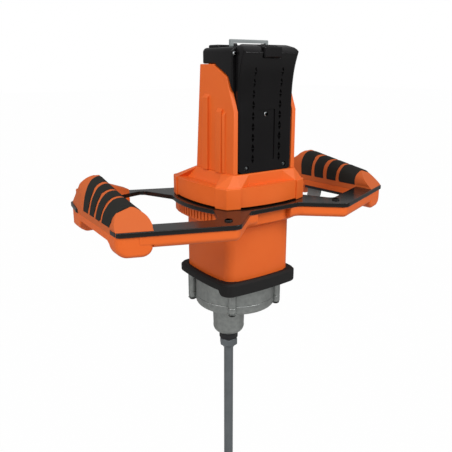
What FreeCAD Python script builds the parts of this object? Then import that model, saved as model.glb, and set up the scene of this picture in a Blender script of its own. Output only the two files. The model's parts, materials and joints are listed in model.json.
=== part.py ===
import FreeCAD, Part
import math
import os

# Twin-handle cordless mixing drill. The origin is the middle of the handle plate's top face,
# X runs to the right-hand grip, Y to the back and Z up. Lengths are millimetres, angles degrees.
V = FreeCAD.Vector
X_AXIS = V(1, 0, 0)
Y_AXIS = V(0, 1, 0)
Z_AXIS = V(0, 0, 1)
CENTRE = V(0, 0, 0)
SIDES = (-1, 1)

# Fits shared by every piece
gap = 0.3
play = 0.05
overrun = 4.0

# Grips, built lying along Y, then turned to the toe angle and carried out to their place
grip_x = 170.2
grip_toe = 3.0
grip_half = 17.2
grip_crest_in = 4.0
crown_share = 0.76
grip_side = 2.0
grip_front_y = -62.0
grip_back_y = 66.0
grip_front_h = 17.5
grip_back_h = 39.5
grip_points = 9
grip_run_on = 22.0
front_facet_angle = 43.0
back_facet_angle = 41.0
brow_angle = 14.0
brow_back = 89.0
side_facet_angle = 80.0
facet_inset = 2.0
band_front_inset = 13.0
band_back_inset = 19.0
band_skew = 20.0
band_t = 1.6
band_proud = 0.4
band_start_shares = (0.0, 0.262, 0.497, 0.722)
band_end_shares = (0.2, 0.43, 0.66, 1.0)
pad_end_rise = 5.0
pad_rise = 14.0
pad_reach = 67.0
pad_slope = 24.0

# Handle plate: each arm leaves a body corner, bends and runs out to a grip
plate_t = 5.0
plate_front_margin = 11.0
plate_back_margin = 21.0
plate_corner_r = 6.0
front_root_x = 36.0
front_bend_x = 77.0
front_bend_y = 110.0
front_tip_out = 21.0
front_tip_on = 3.0
back_root_x = 44.0
back_bend_x = 97.0
back_bend_y = 104.0
back_tip_out = 8.3
back_tip_on = 20.5
front_tab = 16.0
back_tab = 36.0
back_tab_flare = 7.6
tip_step = 4.0
bend_r = 9.0
front_arm_w = 26.0
back_arm_w = 18.0
window_near_x = 84.0
window_front_in = 10.0
window_back_in = 14.0
window_body_margin = 4.0
window_body_y = 44.0
window_bulge = 7.5
window_r = 7.0
wire_port_margin = 29.0

# Upper cap: four corner blocks stand on the plate, the sides between them bow out
cap_half = 62.0
cap_bow = 4.5
cap_lift = 2.0
cap_wall_top = 23.7
block_proud = 1.5
cap_ledge = 2.0
cap_wall = 11.0
cap_roof = 5.0
shoulder_rise = 13.3
shoulder_margin = 1.5
corner_start_share = 0.658
corner_mid_share = 0.911

# Battery pack
pack_half = 38.0
pack_front_inset = 9.0
pack_depth = 57.0
pack_height = 133.7
head_half = 42.5
head_back_step = 8.5
head_clear = 0.4
head_r = 5.0
pack_wall = 2.5
pack_corner_r = 6.0
face_depth = 7.0
face_flare = 9.0
face_edge_r = 4.0
flare_start = 58.7
flare_drop = 6.0
face_crown = 3.0
vent_x = 18.9
vent_count = 18
vent_first = 12.7
vent_pitch = 5.8
vent_w = 4.8
vent_depth = 2.5
panel_half = 12.0
panel_low = 12.7
panel_height = 56.0
panel_depth = 1.0
face_screw_x = 27.0
face_screw_low = 5.7
face_screw_high = 63.7
face_screw_r = 2.6
face_screw_t = 1.6
face_pocket = 2.2
button_half = 12.5
button_height = 11.0
button_depth = 6.0
button_room = 12.0
button_proud = 1.0
cell_r = 9.2
cell_end_room = 4.0
cell_columns = 2
cell_rows = 6
cell_pitch = 19.0
holder_t = 2.0
holder_inset = 8.0

# Pull bail on the pack
bail_back = 24.0
bail_half = 26.5
bail_leg_w = 3.7
bail_bar = 3.6
bail_t = 4.0
bail_pivot_rise = 2.4
bail_rise = 8.5
bail_pin_r = 1.2
bail_pin_length = 3.0
ear_w = 5.0
ear_half = 2.1

# Battery cradle: a tower of two side walls and a back, open to the front and the top
cradle_height = 116.7
cradle_wall = 6.0
cradle_draft = 1.0
face_proud = 1.0
cradle_back_depth = 19.5
cradle_back_draft = 8.5
cradle_corner_r = 4.0
lip_height = 67.6
rail_w = 1.6
rail_t = 4.0
rail_clear = 0.5
rib_w = 10.0
rib_proud = 2.2
rib_slope = 8.0
rib_front_height = 75.0
rib_back_height = 89.0
rib_y_front = -27.0
rib_y_back = -1.0
chamber_wall = 3.5
cradle_edge_shares = ((0.723, 0.731), (0.413, 0.9), (0.279, 0.965))

# Battery terminals and the motor controller
terminal_half = 15.0
terminal_depth = 5.0
terminal_height = 48.0
terminal_clear = 0.5
terminal_blades = 5
contact_t = 1.2
contact_depth = 3.0
contact_height = 30.0
contact_pitch = 5.2
tray_margin = 11.0
tray_t = 7.0
capacitor_r = 5.0
capacitor_h = 8.0
capacitor_count = 3
capacitor_pitch = 14.0

# Gearbox: the case sets the width of the motor above it
case_r = 51.0
case_y = 3.0
case_wall = 4.0
case_top_wall = 6.0
case_clear = 1.1
pillar_angles = (-49.1, 36.6)
pillar_outs = (1.67, 4.32)
pillar_r = 5.2
pillar_short = 4.0
pillar_hole_r = 2.6
pillar_head_r = 4.6
cover_height = 12.5
cover_edge = 6.0
cover_rebate = 1.5
nose_wall = 5.8
nose_draft = 1.5
nose_length = 38.0
nose_round = 11.0
nose_end_wall = 1.0
seal_t = 3.0
seal_h = 5.0
seal_step = 2.0
gear_pinion_teeth = 10
gear_wheel_teeth = 30
final_pinion_teeth = 10
final_wheel_teeth = 22
gear_module_share = 1 / 51
final_module_share = 1.5 / 51
spindle_place_share = 0.345
pressure_angle = 20.0
tooth_width_share = 0.42
addendum_share = 0.75
dedendum_share = 1.15
gear_clear = 1.2
gear_face = 7.5
gear_space = 1.7
final_face = 12.0
lay_shaft_share = 4.0
lay_bearing_share = 8.0
rotor_shaft_share = 5.0
rotor_bearing_share = 11.0
spindle_share = 10.0
spindle_bearing_share = 16.0
lay_bearing_h = 5.0
lay_boss_r = 13.0
lay_boss_rise = 5.0

# Motor housing, guard belt and the vent ring under the plate
motor_inset = 5.0
motor_bow = 3.4
motor_corner_r = 13.0
motor_length = 71.0
belt_t = 7.5
belt_lap = 8.0
belt_height = 16.3
belt_notch = 5.5
belt_notch_inset = 16.0
belt_chamfer = 2.5
vent_ring_inset = 1.5
vent_ring_bow = 4.0
vent_ring_height = 15.0
vent_ring_taper = 7.0
vent_ring_wall = 4.0
vent_ring_web = 5.0
slot_count = 12
slot_w = 2.2
slot_pitch = 6.2
slot_height = 10.5
slot_drop = 3.0

# Motor
stator_margin = 4.0
stator_t = 15.0
stator_top_room = 19.0
stator_low_room = 14.0
stator_teeth = 12
stator_slot_w = 5.0
stator_slot_depth = 9.0
air_gap = 0.7
bearing_cover = 8.0
bearing_h = 7.0
boss_wall = 4.0
seat_floor = 1.0
fan_room = 3.0
fan_plate_t = 2.0
fan_height = 9.0
fan_margin = 5.0
fan_hub_wall = 4.0
fan_blades = 11
fan_blade_t = 1.6

# Spindle, paddle rod and paddle
spindle_shoulder = 2.0
spindle_bore_r = 7.0
stud_length = 22.0
spindle_bearing_h = 10.0
spindle_bearing_step = 2.0
collar_t = 2.4
collar_h = 9.5
hex_flats = 22.0
hex_length = 11.5
hex_chamfer = 1.8
rod_cone = 5.0
rod_r = 6.25
rod_length = 533.0
paddle_r = 60.0
paddle_ring_w = 5.0
paddle_ring_h = 12.0
spoke_w = 14.0
spoke_t = 4.0
blade_count = 3
ribbon_t = 3.5
ribbon_w = 20.0
ribbon_top_w = 9.0
blade_rise = 153.0
blade_turn = 200.0
blade_sections = 9

# Grip bases with their feet, and the channels under the front arms
base_drop = 7.5
foot_drop = 22.0
foot_r = 11.0
front_foot_length = 22.0
back_foot_length = 26.0
foot_slope = 7.0
cover_inset = 1.6
cover_depth = 13.0
cover_start_x = 24.0
cover_round = 6.0

# Switch frame and trigger under the right grip, on the grip's own axis
switch_inset = 0.5
switch_w = 18.5
switch_t = 4.0
switch_taper = 12.0
pocket_inset = 2.3
pocket_length = 28.0
pocket_roof = 1.2
switch_body_offset = 4.5
trigger_y = 28.0
trigger_w = 22.0
trigger_room = 0.6
trigger_pin_r = 1.5
trigger_pin_inset = 18.0
trigger_pin_rise = 3.0
trigger_eye_r = 3.0
pin_bite = 2.5
trigger_outline = (
    (0.0, 2.8), (-10.0, 2.4), (-13.2, 0.2), (-13.6, -4.5), (-12.6, -9.5),
    (-13.0, -14.5), (-14.4, -19.5), (-11.6, -20.5), (-8.6, -15.5), (-7.0, -8.5), (-4.0, -3.6), (0.0, -2.8),
)

# Screws
plate_screw_x = 78.0
plate_screw_edge = 20.5
plate_screw_r = 2.5
plate_screw_head_r = 4.4
plate_screw_head_t = 1.6
plate_screw_length = 14.0
grip_screw_front_inset = 9.0
grip_screw_back_inset = 12.0
grip_screw_sink = 6.0
grip_screw_top = 8.0

# Places that follow from the sizes above, from the top down
plate_front = cap_half + plate_front_margin
plate_back = cap_half + plate_back_margin
window_body_x = cap_half + window_body_margin
wire_port_half = cap_half - wire_port_margin
front_tip_x = grip_x + front_tip_out
front_tip_y = front_tip_on - grip_front_y
back_tip_x = grip_x + back_tip_out
back_tip_y = grip_back_y + back_tip_on
window_far_front_x = grip_x - window_front_in
window_far_back_x = grip_x - window_back_in
plate_screw_front_y = plate_screw_edge - front_bend_y
cradle_base = cap_wall_top + shoulder_rise
cradle_top = cradle_base + cradle_height
dock_half = pack_half + terminal_clear
cradle_half = dock_half + cradle_wall
pack_front = cap_half - pack_front_inset
pack_back = pack_depth - pack_front
head_back = pack_back + head_back_step
bail_y = pack_back - bail_back
cell_length = 2 * (pack_half - pack_wall - cell_end_room)
cradle_front = pack_front - face_proud
rail_front = -pack_front + face_depth + rail_clear
dock_back = pack_back + terminal_clear
cradle_back = dock_back + cradle_back_depth
pack_bottom = cradle_base + gap
pack_top = pack_bottom + pack_height
flare_low = pack_bottom + flare_start
flare_high = pack_top - flare_drop
bail_pivot = pack_top + bail_pivot_rise
bail_top = pack_top + bail_rise
motor_half = case_r - motor_inset
belt_half = motor_half + belt_t
vent_ring_half = cap_half - vent_ring_inset
vent_ring_low = -plate_t - vent_ring_height
vent_ring_bottom = vent_ring_low - vent_ring_taper
motor_bottom = vent_ring_bottom - motor_length
belt_top = motor_bottom + belt_lap
belt_bottom = belt_top - belt_height
belt_side_bottom = belt_bottom + belt_notch
stator_outer_r = motor_half - stator_margin
stator_inner_r = stator_outer_r - stator_t
stator_top = vent_ring_bottom - stator_top_room
stator_bottom = motor_bottom + stator_low_room
rotor_shaft_top = -plate_t - bearing_cover
fan_top = vent_ring_bottom - fan_room
case_room_top = motor_bottom - case_top_wall
gear_module = case_r * gear_module_share
rotor_shaft_r = gear_module * rotor_shaft_share
bearing_r = gear_module * rotor_bearing_share
lay_shaft_r = gear_module * lay_shaft_share
lay_bearing_r = gear_module * lay_bearing_share
spindle_r = gear_module * spindle_share
spindle_bearing_r = gear_module * spindle_bearing_share
final_module = case_r * final_module_share
spindle_y = case_r * spindle_place_share
gear_top = case_room_top - gear_clear
gear_bottom = gear_top - gear_face
final_top = gear_bottom - gear_space
final_bottom = final_top - final_face
cover_split = final_bottom - case_clear
cover_floor_top = cover_split - cover_rebate
cover_bottom = cover_split - cover_height
pillar_bottom = cover_bottom + pillar_short
seal_r = spindle_r + seal_t
nose_end_r = seal_r + nose_end_wall
nose_top_r = spindle_bearing_r + nose_wall
nose_low_r = nose_top_r - nose_draft
nose_round_top = cover_bottom - nose_length
nose_end = nose_round_top - nose_round
spindle_neck_r = spindle_r - spindle_shoulder
upper_bearing_low = cover_floor_top - spindle_bearing_h
lower_bearing_low = nose_end + seal_h + seal_step
spindle_end = nose_end - collar_h
hex_low = spindle_end - hex_length
rod_end = hex_low - rod_cone - rod_length
bridge_z = -plate_t - base_drop
foot_z = -plate_t - foot_drop
trigger_pin_x = trigger_pin_inset - grip_half
trigger_pin_z = bridge_z + trigger_pin_rise
pocket_inner = pocket_inset - grip_half
pocket_outer = pocket_inner + pocket_length


def at_height(point, z):
    return V(point[0], point[1], z)


def rounded_edges(points, radii, closed=True):
    """Edges of a polyline with its corners rounded to the radii, 0 for a sharp one."""
    count = len(points)
    starts = []
    ends = []
    arcs = []
    for i, point in enumerate(points):
        radius = radii[i]
        inner = closed or 0 < i < count - 1
        if not radius or not inner:
            starts.append(point)
            ends.append(point)
            arcs.append(None)
            continue
        before = (points[i - 1] - point).normalize()
        after = (points[(i + 1) % count] - point).normalize()
        half_angle = before.getAngle(after) / 2
        back_off = radius / math.tan(half_angle)
        towards = (before + after).normalize()
        middle = point + towards * (radius / math.sin(half_angle) - radius)
        starts.append(point + before * back_off)
        ends.append(point + after * back_off)
        arcs.append(Part.Arc(starts[i], middle, ends[i]).toShape())
    edges = []
    for i in range(count):
        if arcs[i]:
            edges.append(arcs[i])
        follower = (i + 1) % count
        if closed or i < count - 1:
            edges.append(Part.LineSegment(ends[i], starts[follower]).toShape())
    return edges


def outline(points, radii, z):
    lifted = [at_height(p, z) for p in points]
    return Part.Wire(rounded_edges(lifted, radii))


def prism(wire, height):
    return Part.Face(wire).extrude(Z_AXIS * height)


def box(low, high):
    size = high - low
    return Part.makeBox(size.x, size.y, size.z, low)


def rectangle(x_low, x_high, y_low, y_high):
    return [V(x_low, y_low, 0), V(x_high, y_low, 0), V(x_high, y_high, 0), V(x_low, y_high, 0)]


def rounded_square(half, corner_r, z_low, z_high):
    corners = rectangle(-half, half, -half, half)
    return prism(outline(corners, [corner_r] * 4, z_low), z_high - z_low)


def bowed_square(half, bow, corner_r, z_low, z_high):
    """A square block whose sides bow out between its corners, the upright edges rounded."""
    corners = [at_height(p, z_low) for p in rectangle(-half, half, -half, half)]
    edges = []
    for side in range(4):
        first = corners[side]
        last = corners[(side + 1) % 4]
        share = (half + bow) / half
        crown = at_height((first + last) * (share / 2), z_low)
        edges.append(Part.Arc(first, crown, last).toShape())
    block = prism(Part.Wire(edges), z_high - z_low)
    upright = [e for e in block.Edges if e.BoundBox.ZLength > gap]
    return block.makeFillet(corner_r, upright)


def post(x, y, radius, z_low, z_high):
    return Part.makeCylinder(radius, z_high - z_low, V(x, y, z_low))


def ring(x, y, outer_r, inner_r, z_low, z_high):
    hole = post(x, y, inner_r, z_low - overrun, z_high + overrun)
    return post(x, y, outer_r, z_low, z_high).cut(hole)


def side_profile(points, x_low, x_high):
    """A solid from a closed outline drawn in the YZ plane, carried along X."""
    corners = [V(x_low, y, z) for y, z in points]
    face = Part.Face(Part.makePolygon(corners + corners[:1]))
    return face.extrude(X_AXIS * (x_high - x_low))


def mirrored(shape):
    return shape.mirror(CENTRE, X_AXIS)


def joined(shapes):
    return shapes[0].fuse(shapes[1:]).removeSplitter()


# Handle plate

def front_arm_y(x):
    """Y of the front arm's inner edge, which is parallel to its outer edge."""
    run_x = front_tip_x - front_bend_x
    run_y = front_bend_y - front_tip_y
    slope = run_y / run_x
    return -front_bend_y + (x - front_bend_x) * slope + front_arm_w * math.hypot(1, slope)


def back_arm_y(x):
    slope = (back_bend_y - back_tip_y) / (back_tip_x - back_bend_x)
    return back_bend_y - (x - back_bend_x) * slope - back_arm_w * math.hypot(1, slope)


def plate_half_points():
    """Corners of the plate's right half from the front to the back, each with its radius."""
    front_end = -front_tip_y + front_tab
    back_end = back_tip_y - back_tab
    front_step_x = front_tip_x - front_tab * math.tan(math.radians(grip_toe))
    back_step_x = back_tip_x + back_tab_flare
    return [
        (V(front_root_x, -plate_front, 0), plate_corner_r),
        (V(front_bend_x, -front_bend_y, 0), bend_r),
        (V(front_tip_x, -front_tip_y, 0), plate_corner_r),
        (V(front_step_x, front_end, 0), 0),
        (V(front_step_x - tip_step, front_end + tip_step, 0), 0),
        (V(back_step_x - tip_step, back_end - tip_step, 0), 0),
        (V(back_step_x, back_end, 0), 0),
        (V(back_tip_x, back_tip_y, 0), plate_corner_r),
        (V(back_bend_x, back_bend_y, 0), bend_r),
        (V(back_root_x, plate_back, 0), plate_corner_r),
    ]


def plate_outline(z):
    right = plate_half_points()
    left = [(V(-p.x, p.y, 0), r) for p, r in reversed(right)]
    corners = right + left
    return outline([p for p, r in corners], [r for p, r in corners], z)


def window_outline(z):
    """The right-hand window: its body side bows out, the rest follows the arms and the grip."""
    points = [
        V(window_body_x, -window_body_y, z),
        V(window_near_x, front_arm_y(window_near_x), z),
        V(window_far_front_x, front_arm_y(window_far_front_x), z),
        V(window_far_back_x, back_arm_y(window_far_back_x), z),
        V(window_near_x, back_arm_y(window_near_x), z),
        V(window_body_x, window_body_y, z),
    ]
    edges = rounded_edges(points, [0] + [window_r] * 4 + [0], closed=False)
    bow = Part.Arc(points[-1], V(window_body_x + window_bulge, 0, z), points[0]).toShape()
    return Part.Wire(edges + [bow])


def plate_screw_places():
    return [V(s * plate_screw_x, plate_screw_front_y, 0) for s in SIDES]


def right_grip_screw_places():
    """Under each foot of the right grip base, on the grip's own axis and then in place."""
    spin = FreeCAD.Rotation(Z_AXIS, grip_toe)
    ends = (grip_front_y + grip_screw_front_inset, grip_back_y - grip_screw_back_inset)
    return [spin.multVec(V(0, y, 0)) + X_AXIS * grip_x for y in ends]


def grip_screw_places():
    right = right_grip_screw_places()
    return right + [V(-p.x, p.y, 0) for p in right]


def grip_screw_posts(radius, z_low, z_high):
    return [post(p.x, p.y, radius, z_low, z_high) for p in grip_screw_places()]


def plate_blank(z_low, z_high):
    """The plate's outline with its two windows, between two heights."""
    window = prism(window_outline(z_low - overrun), z_high - z_low + 2 * overrun)
    return prism(plate_outline(z_low), z_high - z_low).cut([window, mirrored(window)])


def frame_plate():
    port = rounded_square(wire_port_half, window_r, -plate_t - overrun, overrun)
    holes = [post(p.x, p.y, plate_screw_r + play, -plate_t - overrun, overrun) for p in plate_screw_places()]
    holes += grip_screw_posts(plate_screw_r + play, -plate_t - overrun, overrun)
    return plate_blank(-plate_t, 0).cut([port] + holes)


def plate_screws():
    screws = []
    for p in plate_screw_places():
        head = post(p.x, p.y, plate_screw_head_r, 0, plate_screw_head_t)
        shank = post(p.x, p.y, plate_screw_r, -plate_screw_length, 0)
        screws.append(head.fuse(shank))
    return Part.makeCompound(screws)


def grip_screws():
    """Four screws, one up through each foot and the plate into the grip."""
    low = foot_z + grip_screw_sink
    heads = grip_screw_posts(plate_screw_head_r, low - plate_screw_head_t, low)
    shanks = grip_screw_posts(plate_screw_r, low, grip_screw_top)
    return Part.makeCompound([head.fuse(shank).removeSplitter() for head, shank in zip(heads, shanks)])


# Housings round the body

def body_points(half):
    """Twelve corners of a body outline: each corner is cut by two facets that meet on its diagonal."""
    start = half * corner_start_share
    middle = half * corner_mid_share
    quarter = [V(-start, -half, 0), V(start, -half, 0), V(middle, -middle, 0)]
    turned = []
    for turn in range(4):
        spin = FreeCAD.Rotation(Z_AXIS, 90 * turn)
        turned += [spin.multVec(p) for p in quarter]
    return turned


def body_outline(half, bow, z):
    points = [at_height(p, z) for p in body_points(half)]
    edges = []
    for side in range(4):
        first, last, middle = points[3 * side:3 * side + 3]
        outward = V(first.x + last.x, first.y + last.y, 0).normalize()
        crown = at_height(outward * (half + bow), z)
        edges.append(Part.Arc(first, crown, last).toShape())
        edges.append(Part.LineSegment(last, middle).toShape())
        edges.append(Part.LineSegment(middle, points[(3 * side + 3) % len(points)]).toShape())
    return Part.Wire(edges)


def shoulder_points(z):
    """Twelve corners round the cradle's foot, in the same order as the cap's."""
    margin = shoulder_margin
    half = cradle_half + margin
    low = -cradle_front - margin
    high = cradle_back + margin
    cut = cradle_corner_r
    nip = cut / 3
    return [
        V(-half + cut, low, z), V(half - cut, low, z), V(half - nip, low + nip, z),
        V(half, low + cut, z), V(half, high - cut, z), V(half - nip, high - nip, z),
        V(half - cut, high, z), V(-half + cut, high, z), V(-half + nip, high - nip, z),
        V(-half, high - cut, z), V(-half, low + cut, z), V(-half + nip, low + nip, z),
    ]


def upper_cap():
    sides = prism(body_outline(cap_half - block_proud, cap_bow, cap_lift), cap_wall_top - cap_lift)
    start = cap_half * corner_start_share
    middle = cap_half * corner_mid_share
    blocks = []
    for sx in SIDES:
        for sy in SIDES:
            corner = [(start, start), (start, cap_half), (middle, middle), (cap_half, start)]
            points = [V(sx * x, sy * y, 0) for x, y in corner]
            blocks.append(prism(Part.makePolygon(points + points[:1]), cap_wall_top))
    foot = [at_height(p, cap_wall_top) for p in body_points(cap_half - cap_ledge)]
    head = shoulder_points(cradle_base)
    shoulder = Part.makeLoft([Part.makePolygon(foot + foot[:1]), Part.makePolygon(head + head[:1])], True, True)
    room = rounded_square(cap_half - cap_wall, cap_wall, -overrun, cap_wall_top - cap_roof)
    port_low = dock_back + chamber_wall
    port = box(V(-terminal_half, port_low, 0), V(terminal_half, port_low + terminal_depth, cradle_base + overrun))
    return joined([sides, shoulder] + blocks).cut([room, port])


def controller():
    tray = rounded_square(cap_half - 2 * tray_margin, plate_corner_r, 0, tray_t)
    row = [(i - (capacitor_count - 1) / 2) * capacitor_pitch for i in range(capacitor_count)]
    cans = [post(x, 0, capacitor_r, 0, tray_t + capacitor_h) for x in row]
    return joined([tray] + cans)


def vent_ring():
    """The lower ring: bowed sides with cooling slots, closed above by a web that seats a bearing."""
    wall = prism(body_outline(vent_ring_half, vent_ring_bow, vent_ring_low), vent_ring_height)
    upper = [at_height(p, vent_ring_low) for p in body_points(vent_ring_half)]
    lower = [at_height(p, vent_ring_bottom) for p in body_points(motor_half + motor_bow)]
    taper = Part.makeLoft([Part.makePolygon(upper + upper[:1]), Part.makePolygon(lower + lower[:1])], True, True)
    roof = -plate_t - vent_ring_web
    room_half = motor_half - vent_ring_wall
    room = rounded_square(room_half, motor_corner_r, vent_ring_bottom - overrun, roof)
    wide_half = vent_ring_half - vent_ring_wall
    wide = rounded_square(wide_half, motor_corner_r, vent_ring_low, roof)
    boss_low = rotor_shaft_top - bearing_h
    boss = post(0, 0, bearing_r + boss_wall, boss_low, -plate_t)
    seat = post(0, 0, bearing_r + play, boss_low - overrun, rotor_shaft_top)
    slots = []
    reach = vent_ring_half + vent_ring_bow + overrun
    slot_high = -plate_t - slot_drop
    slot_low = slot_high - slot_height
    for i in range(slot_count):
        y = (i - (slot_count - 1) / 2) * slot_pitch
        slot = box(V(wide_half - overrun, y - slot_w / 2, slot_low), V(reach, y + slot_w / 2, slot_high))
        slots += [slot, mirrored(slot)]
    return joined([wall, taper]).cut([room, wide] + slots).fuse(boss).cut(seat).removeSplitter()


def motor_housing():
    sleeve = bowed_square(motor_half, motor_bow, motor_corner_r, motor_bottom, vent_ring_bottom)
    bore = post(0, 0, stator_outer_r + play, motor_bottom - overrun, vent_ring_bottom + overrun)
    return sleeve.cut(bore)


def guard_belt():
    """A rubber band round the housing's foot, deeper at the front than along the sides and the back."""
    band = bowed_square(belt_half, motor_bow, motor_corner_r, belt_bottom, belt_top)
    rim = [e for e in band.Edges if e.BoundBox.ZMin > belt_top - gap]
    band = band.makeChamfer(belt_chamfer, rim)
    hole = bowed_square(motor_half, motor_bow, motor_corner_r, belt_bottom - overrun, belt_top + overrun)
    step = belt_notch / 2
    start = belt_notch_inset - belt_half
    reach = belt_half + motor_bow + overrun
    notch = [
        (start - step, belt_bottom), (start, belt_side_bottom), (reach, belt_side_bottom), (reach, belt_bottom - overrun),
        (start - step, belt_bottom - overrun),
    ]
    return band.cut([hole, side_profile(notch, -reach, reach)])


# Battery cradle and pack

def cradle_section(z, half, back):
    corners = rectangle(-half, half, -cradle_front, back)
    return outline(corners, [0, 0, cradle_corner_r, cradle_corner_r], z)


def battery_cradle():
    foot = cradle_section(cradle_base, cradle_half, cradle_back)
    head = cradle_section(cradle_top, cradle_half - cradle_draft, cradle_back - cradle_back_draft)
    tower = Part.makeLoft([foot, head], True, True)
    ribs = [cradle_rib(s, y, cradle_base + height) for s in SIDES
            for y, height in ((rib_y_front, rib_front_height), (rib_y_back, rib_back_height))]
    tower = joined([tower] + ribs)
    dock = box(V(-dock_half, -cradle_front - overrun, cradle_base - overrun),
               V(dock_half, dock_back, cradle_top + overrun))
    rails = cradle_rails(0, cradle_base)
    chamber_half = dock_half - chamber_wall
    chamber = box(V(-chamber_half, dock_back + chamber_wall, cradle_base - overrun),
                  V(chamber_half, cradle_back - cradle_back_draft - chamber_wall, cradle_top - chamber_wall))
    return tower.cut([dock.cut(rails), chamber, cradle_top_cut()])


def cradle_rails(air, low):
    """The two upright rails on the dock's sides, which run in the pack's grooves."""
    high = cradle_base + lip_height + air
    front = rail_front - air
    inner = dock_half - rail_w - air
    rail = box(V(inner, front, low), V(cradle_half, rail_front + rail_t + air, high))
    return [rail, mirrored(rail)]


def cradle_rib(side, y, top):
    """A raised rib on a side wall, its upper end sloped back into the wall."""
    root = cradle_half - cradle_draft - rib_proud
    crest = cradle_half + rib_proud
    profile = [(root, cradle_base), (crest, cradle_base), (crest - cradle_draft, top - rib_slope), (root, top)]
    corners = [V(side * x, y - rib_w / 2, z) for x, z in profile]
    return Part.Face(Part.makePolygon(corners + corners[:1])).extrude(Y_AXIS * rib_w)


def cradle_top_cut():
    """What is cut off the side walls: the top edge falls away in steps to the front lip."""
    high = cradle_top + overrun
    clear = -cradle_front - overrun
    edge = cradle_edge_points()
    points = [(clear, edge[0][1])] + edge + [(edge[-1][0], high), (clear, high)]
    reach = cradle_half + rib_proud + overrun
    return side_profile(points, -reach, reach)


def cradle_edge_points():
    """The side walls' top edge from the front lip up to the back, as (y, z)."""
    lip_top = cradle_base + lip_height
    rise = cradle_top - lip_top
    edge = [(-cradle_front * y, lip_top + rise * z) for y, z in cradle_edge_shares]
    return [(-cradle_front, lip_top)] + edge + [(edge[-1][0], cradle_top)]


def wall_room():
    """What the pack's wide head leaves free: the cradle's two side walls and its back, with a little air."""
    edge = [(y - head_clear, z + head_clear) for y, z in cradle_edge_points()]
    front = -pack_front - overrun
    low = pack_bottom - overrun
    points = [(front, low), (front, edge[0][1])] + edge[1:] + [(cradle_back, edge[-1][1]), (cradle_back, low)]
    side = side_profile(points, pack_half, pack_half + cradle_half)
    back = box(V(-cradle_half, pack_back, low), V(cradle_half, cradle_back, edge[-1][1]))
    return [side, mirrored(side), back]


def pack_case():
    """Case of the pack: it slides between the cradle's walls, its head above them is as wide as they are."""
    front = -pack_front + face_depth
    corners = rectangle(-head_half, head_half, front, head_back)
    shell = prism(outline(corners, [0, 0, pack_corner_r, pack_corner_r], pack_bottom), pack_top - pack_bottom)
    top_edges = [e for e in shell.Edges if e.BoundBox.ZMin > pack_top - gap and e.BoundBox.YMax > front + gap]
    shell = shell.makeFillet(head_r, top_edges).cut(wall_room() + cradle_rails(rail_clear, pack_bottom - overrun))
    room = box(V(-pack_half + pack_wall, front, pack_bottom + pack_wall),
               V(pack_half - pack_wall, pack_back - terminal_depth - pack_wall, pack_top - 2 * pack_wall))
    channel_half = terminal_half + terminal_clear
    channel = box(V(-channel_half, pack_back - terminal_depth, pack_bottom - overrun),
                  V(channel_half, pack_back + overrun, cradle_base + terminal_height + terminal_clear))
    ears = []
    for s in SIDES:
        inner = bail_half - bail_leg_w - gap - ear_w
        ear = box(V(inner, bail_y - ear_half, pack_top - pack_wall), V(inner + ear_w, bail_y + ear_half, bail_pivot))
        ear = ear.fuse(Part.makeCylinder(ear_half, ear_w, V(inner, bail_y, bail_pivot), X_AXIS))
        hole = Part.makeCylinder(bail_pin_r + play, ear_w + 2 * overrun,
                                 V(inner - overrun, bail_y, bail_pivot), X_AXIS)
        ear = ear.cut(hole)
        ears.append(ear if s > 0 else mirrored(ear))
    return joined([shell.cut([room, channel])] + ears)


def face_front_y(z):
    """Y of the pack's front face, which sweeps forward on one arc towards the top."""
    if z <= flare_low:
        return -pack_front
    rise = flare_high - flare_low
    radius = (rise * rise + face_flare * face_flare) / (2 * face_flare)
    up = min(z, flare_high) - flare_low
    return -pack_front - (radius - math.sqrt(radius * radius - up * up))


def pack_face():
    """The pack's front: straight below, flared above, with vents, a panel and screw pockets."""
    back = -pack_front + face_depth
    middle = (flare_low + flare_high) / 2
    corners = [V(-pack_half, y, z) for y, z in (
        (back, pack_bottom), (-pack_front, pack_bottom), (-pack_front, flare_low),
        (-pack_front - face_flare, flare_high), (-pack_front - face_crown, pack_top),
        (back, pack_top + face_crown))]
    arc = Part.Arc(corners[2], V(-pack_half, face_front_y(middle), middle), corners[3]).toShape()
    edges = [Part.LineSegment(corners[i], corners[i + 1]).toShape() for i in (0, 1, 3, 4)]
    edges.append(Part.LineSegment(corners[5], corners[0]).toShape())
    profile = Part.Wire([edges[0], edges[1], arc, edges[2], edges[3], edges[4]])
    body = Part.Face(profile).extrude(X_AXIS * 2 * pack_half)
    rim = [e for e in body.Edges if e.BoundBox.YMax < back - gap and e.BoundBox.ZMax < flare_high + gap]
    body = body.makeFillet(face_edge_r, [e for e in rim if e.BoundBox.XLength < gap])
    return body.cut(face_vents() + face_pockets())


def face_vents():
    """Two columns of triangular vents, pointing alternately up and down."""
    vents = []
    for side in SIDES:
        for i in range(vent_count):
            z = pack_bottom + vent_first + i * vent_pitch
            y = face_front_y(z + vent_pitch)
            wide = vent_w / 2
            low = -wide if i % 2 else wide
            points = [V(-wide, 0, low), V(wide, 0, low), V(0, 0, -low)]
            face = Part.Face(Part.makePolygon(points + points[:1]))
            face.translate(V(side * vent_x, y - overrun, z))
            vents.append(face.extrude(Y_AXIS * (vent_depth + overrun)))
    return vents


def face_screw_places():
    low = pack_bottom + face_screw_low
    return [(-face_screw_x, low), (face_screw_x, low), (0, pack_bottom + face_screw_high)]


def face_pockets():
    low = pack_bottom + panel_low
    panel = box(V(-panel_half, -pack_front - face_flare, low),
                V(panel_half, -pack_front + panel_depth, low + panel_height))
    front = -pack_front - face_flare
    notch = box(V(-button_half, front - overrun, pack_top - button_height),
                V(button_half, front + button_room, pack_top + overrun))
    holes = [Part.makeCylinder(face_screw_r + gap, face_pocket + overrun, V(x, -pack_front - overrun, z), Y_AXIS)
             for x, z in face_screw_places()]
    return [panel, notch] + holes


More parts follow.
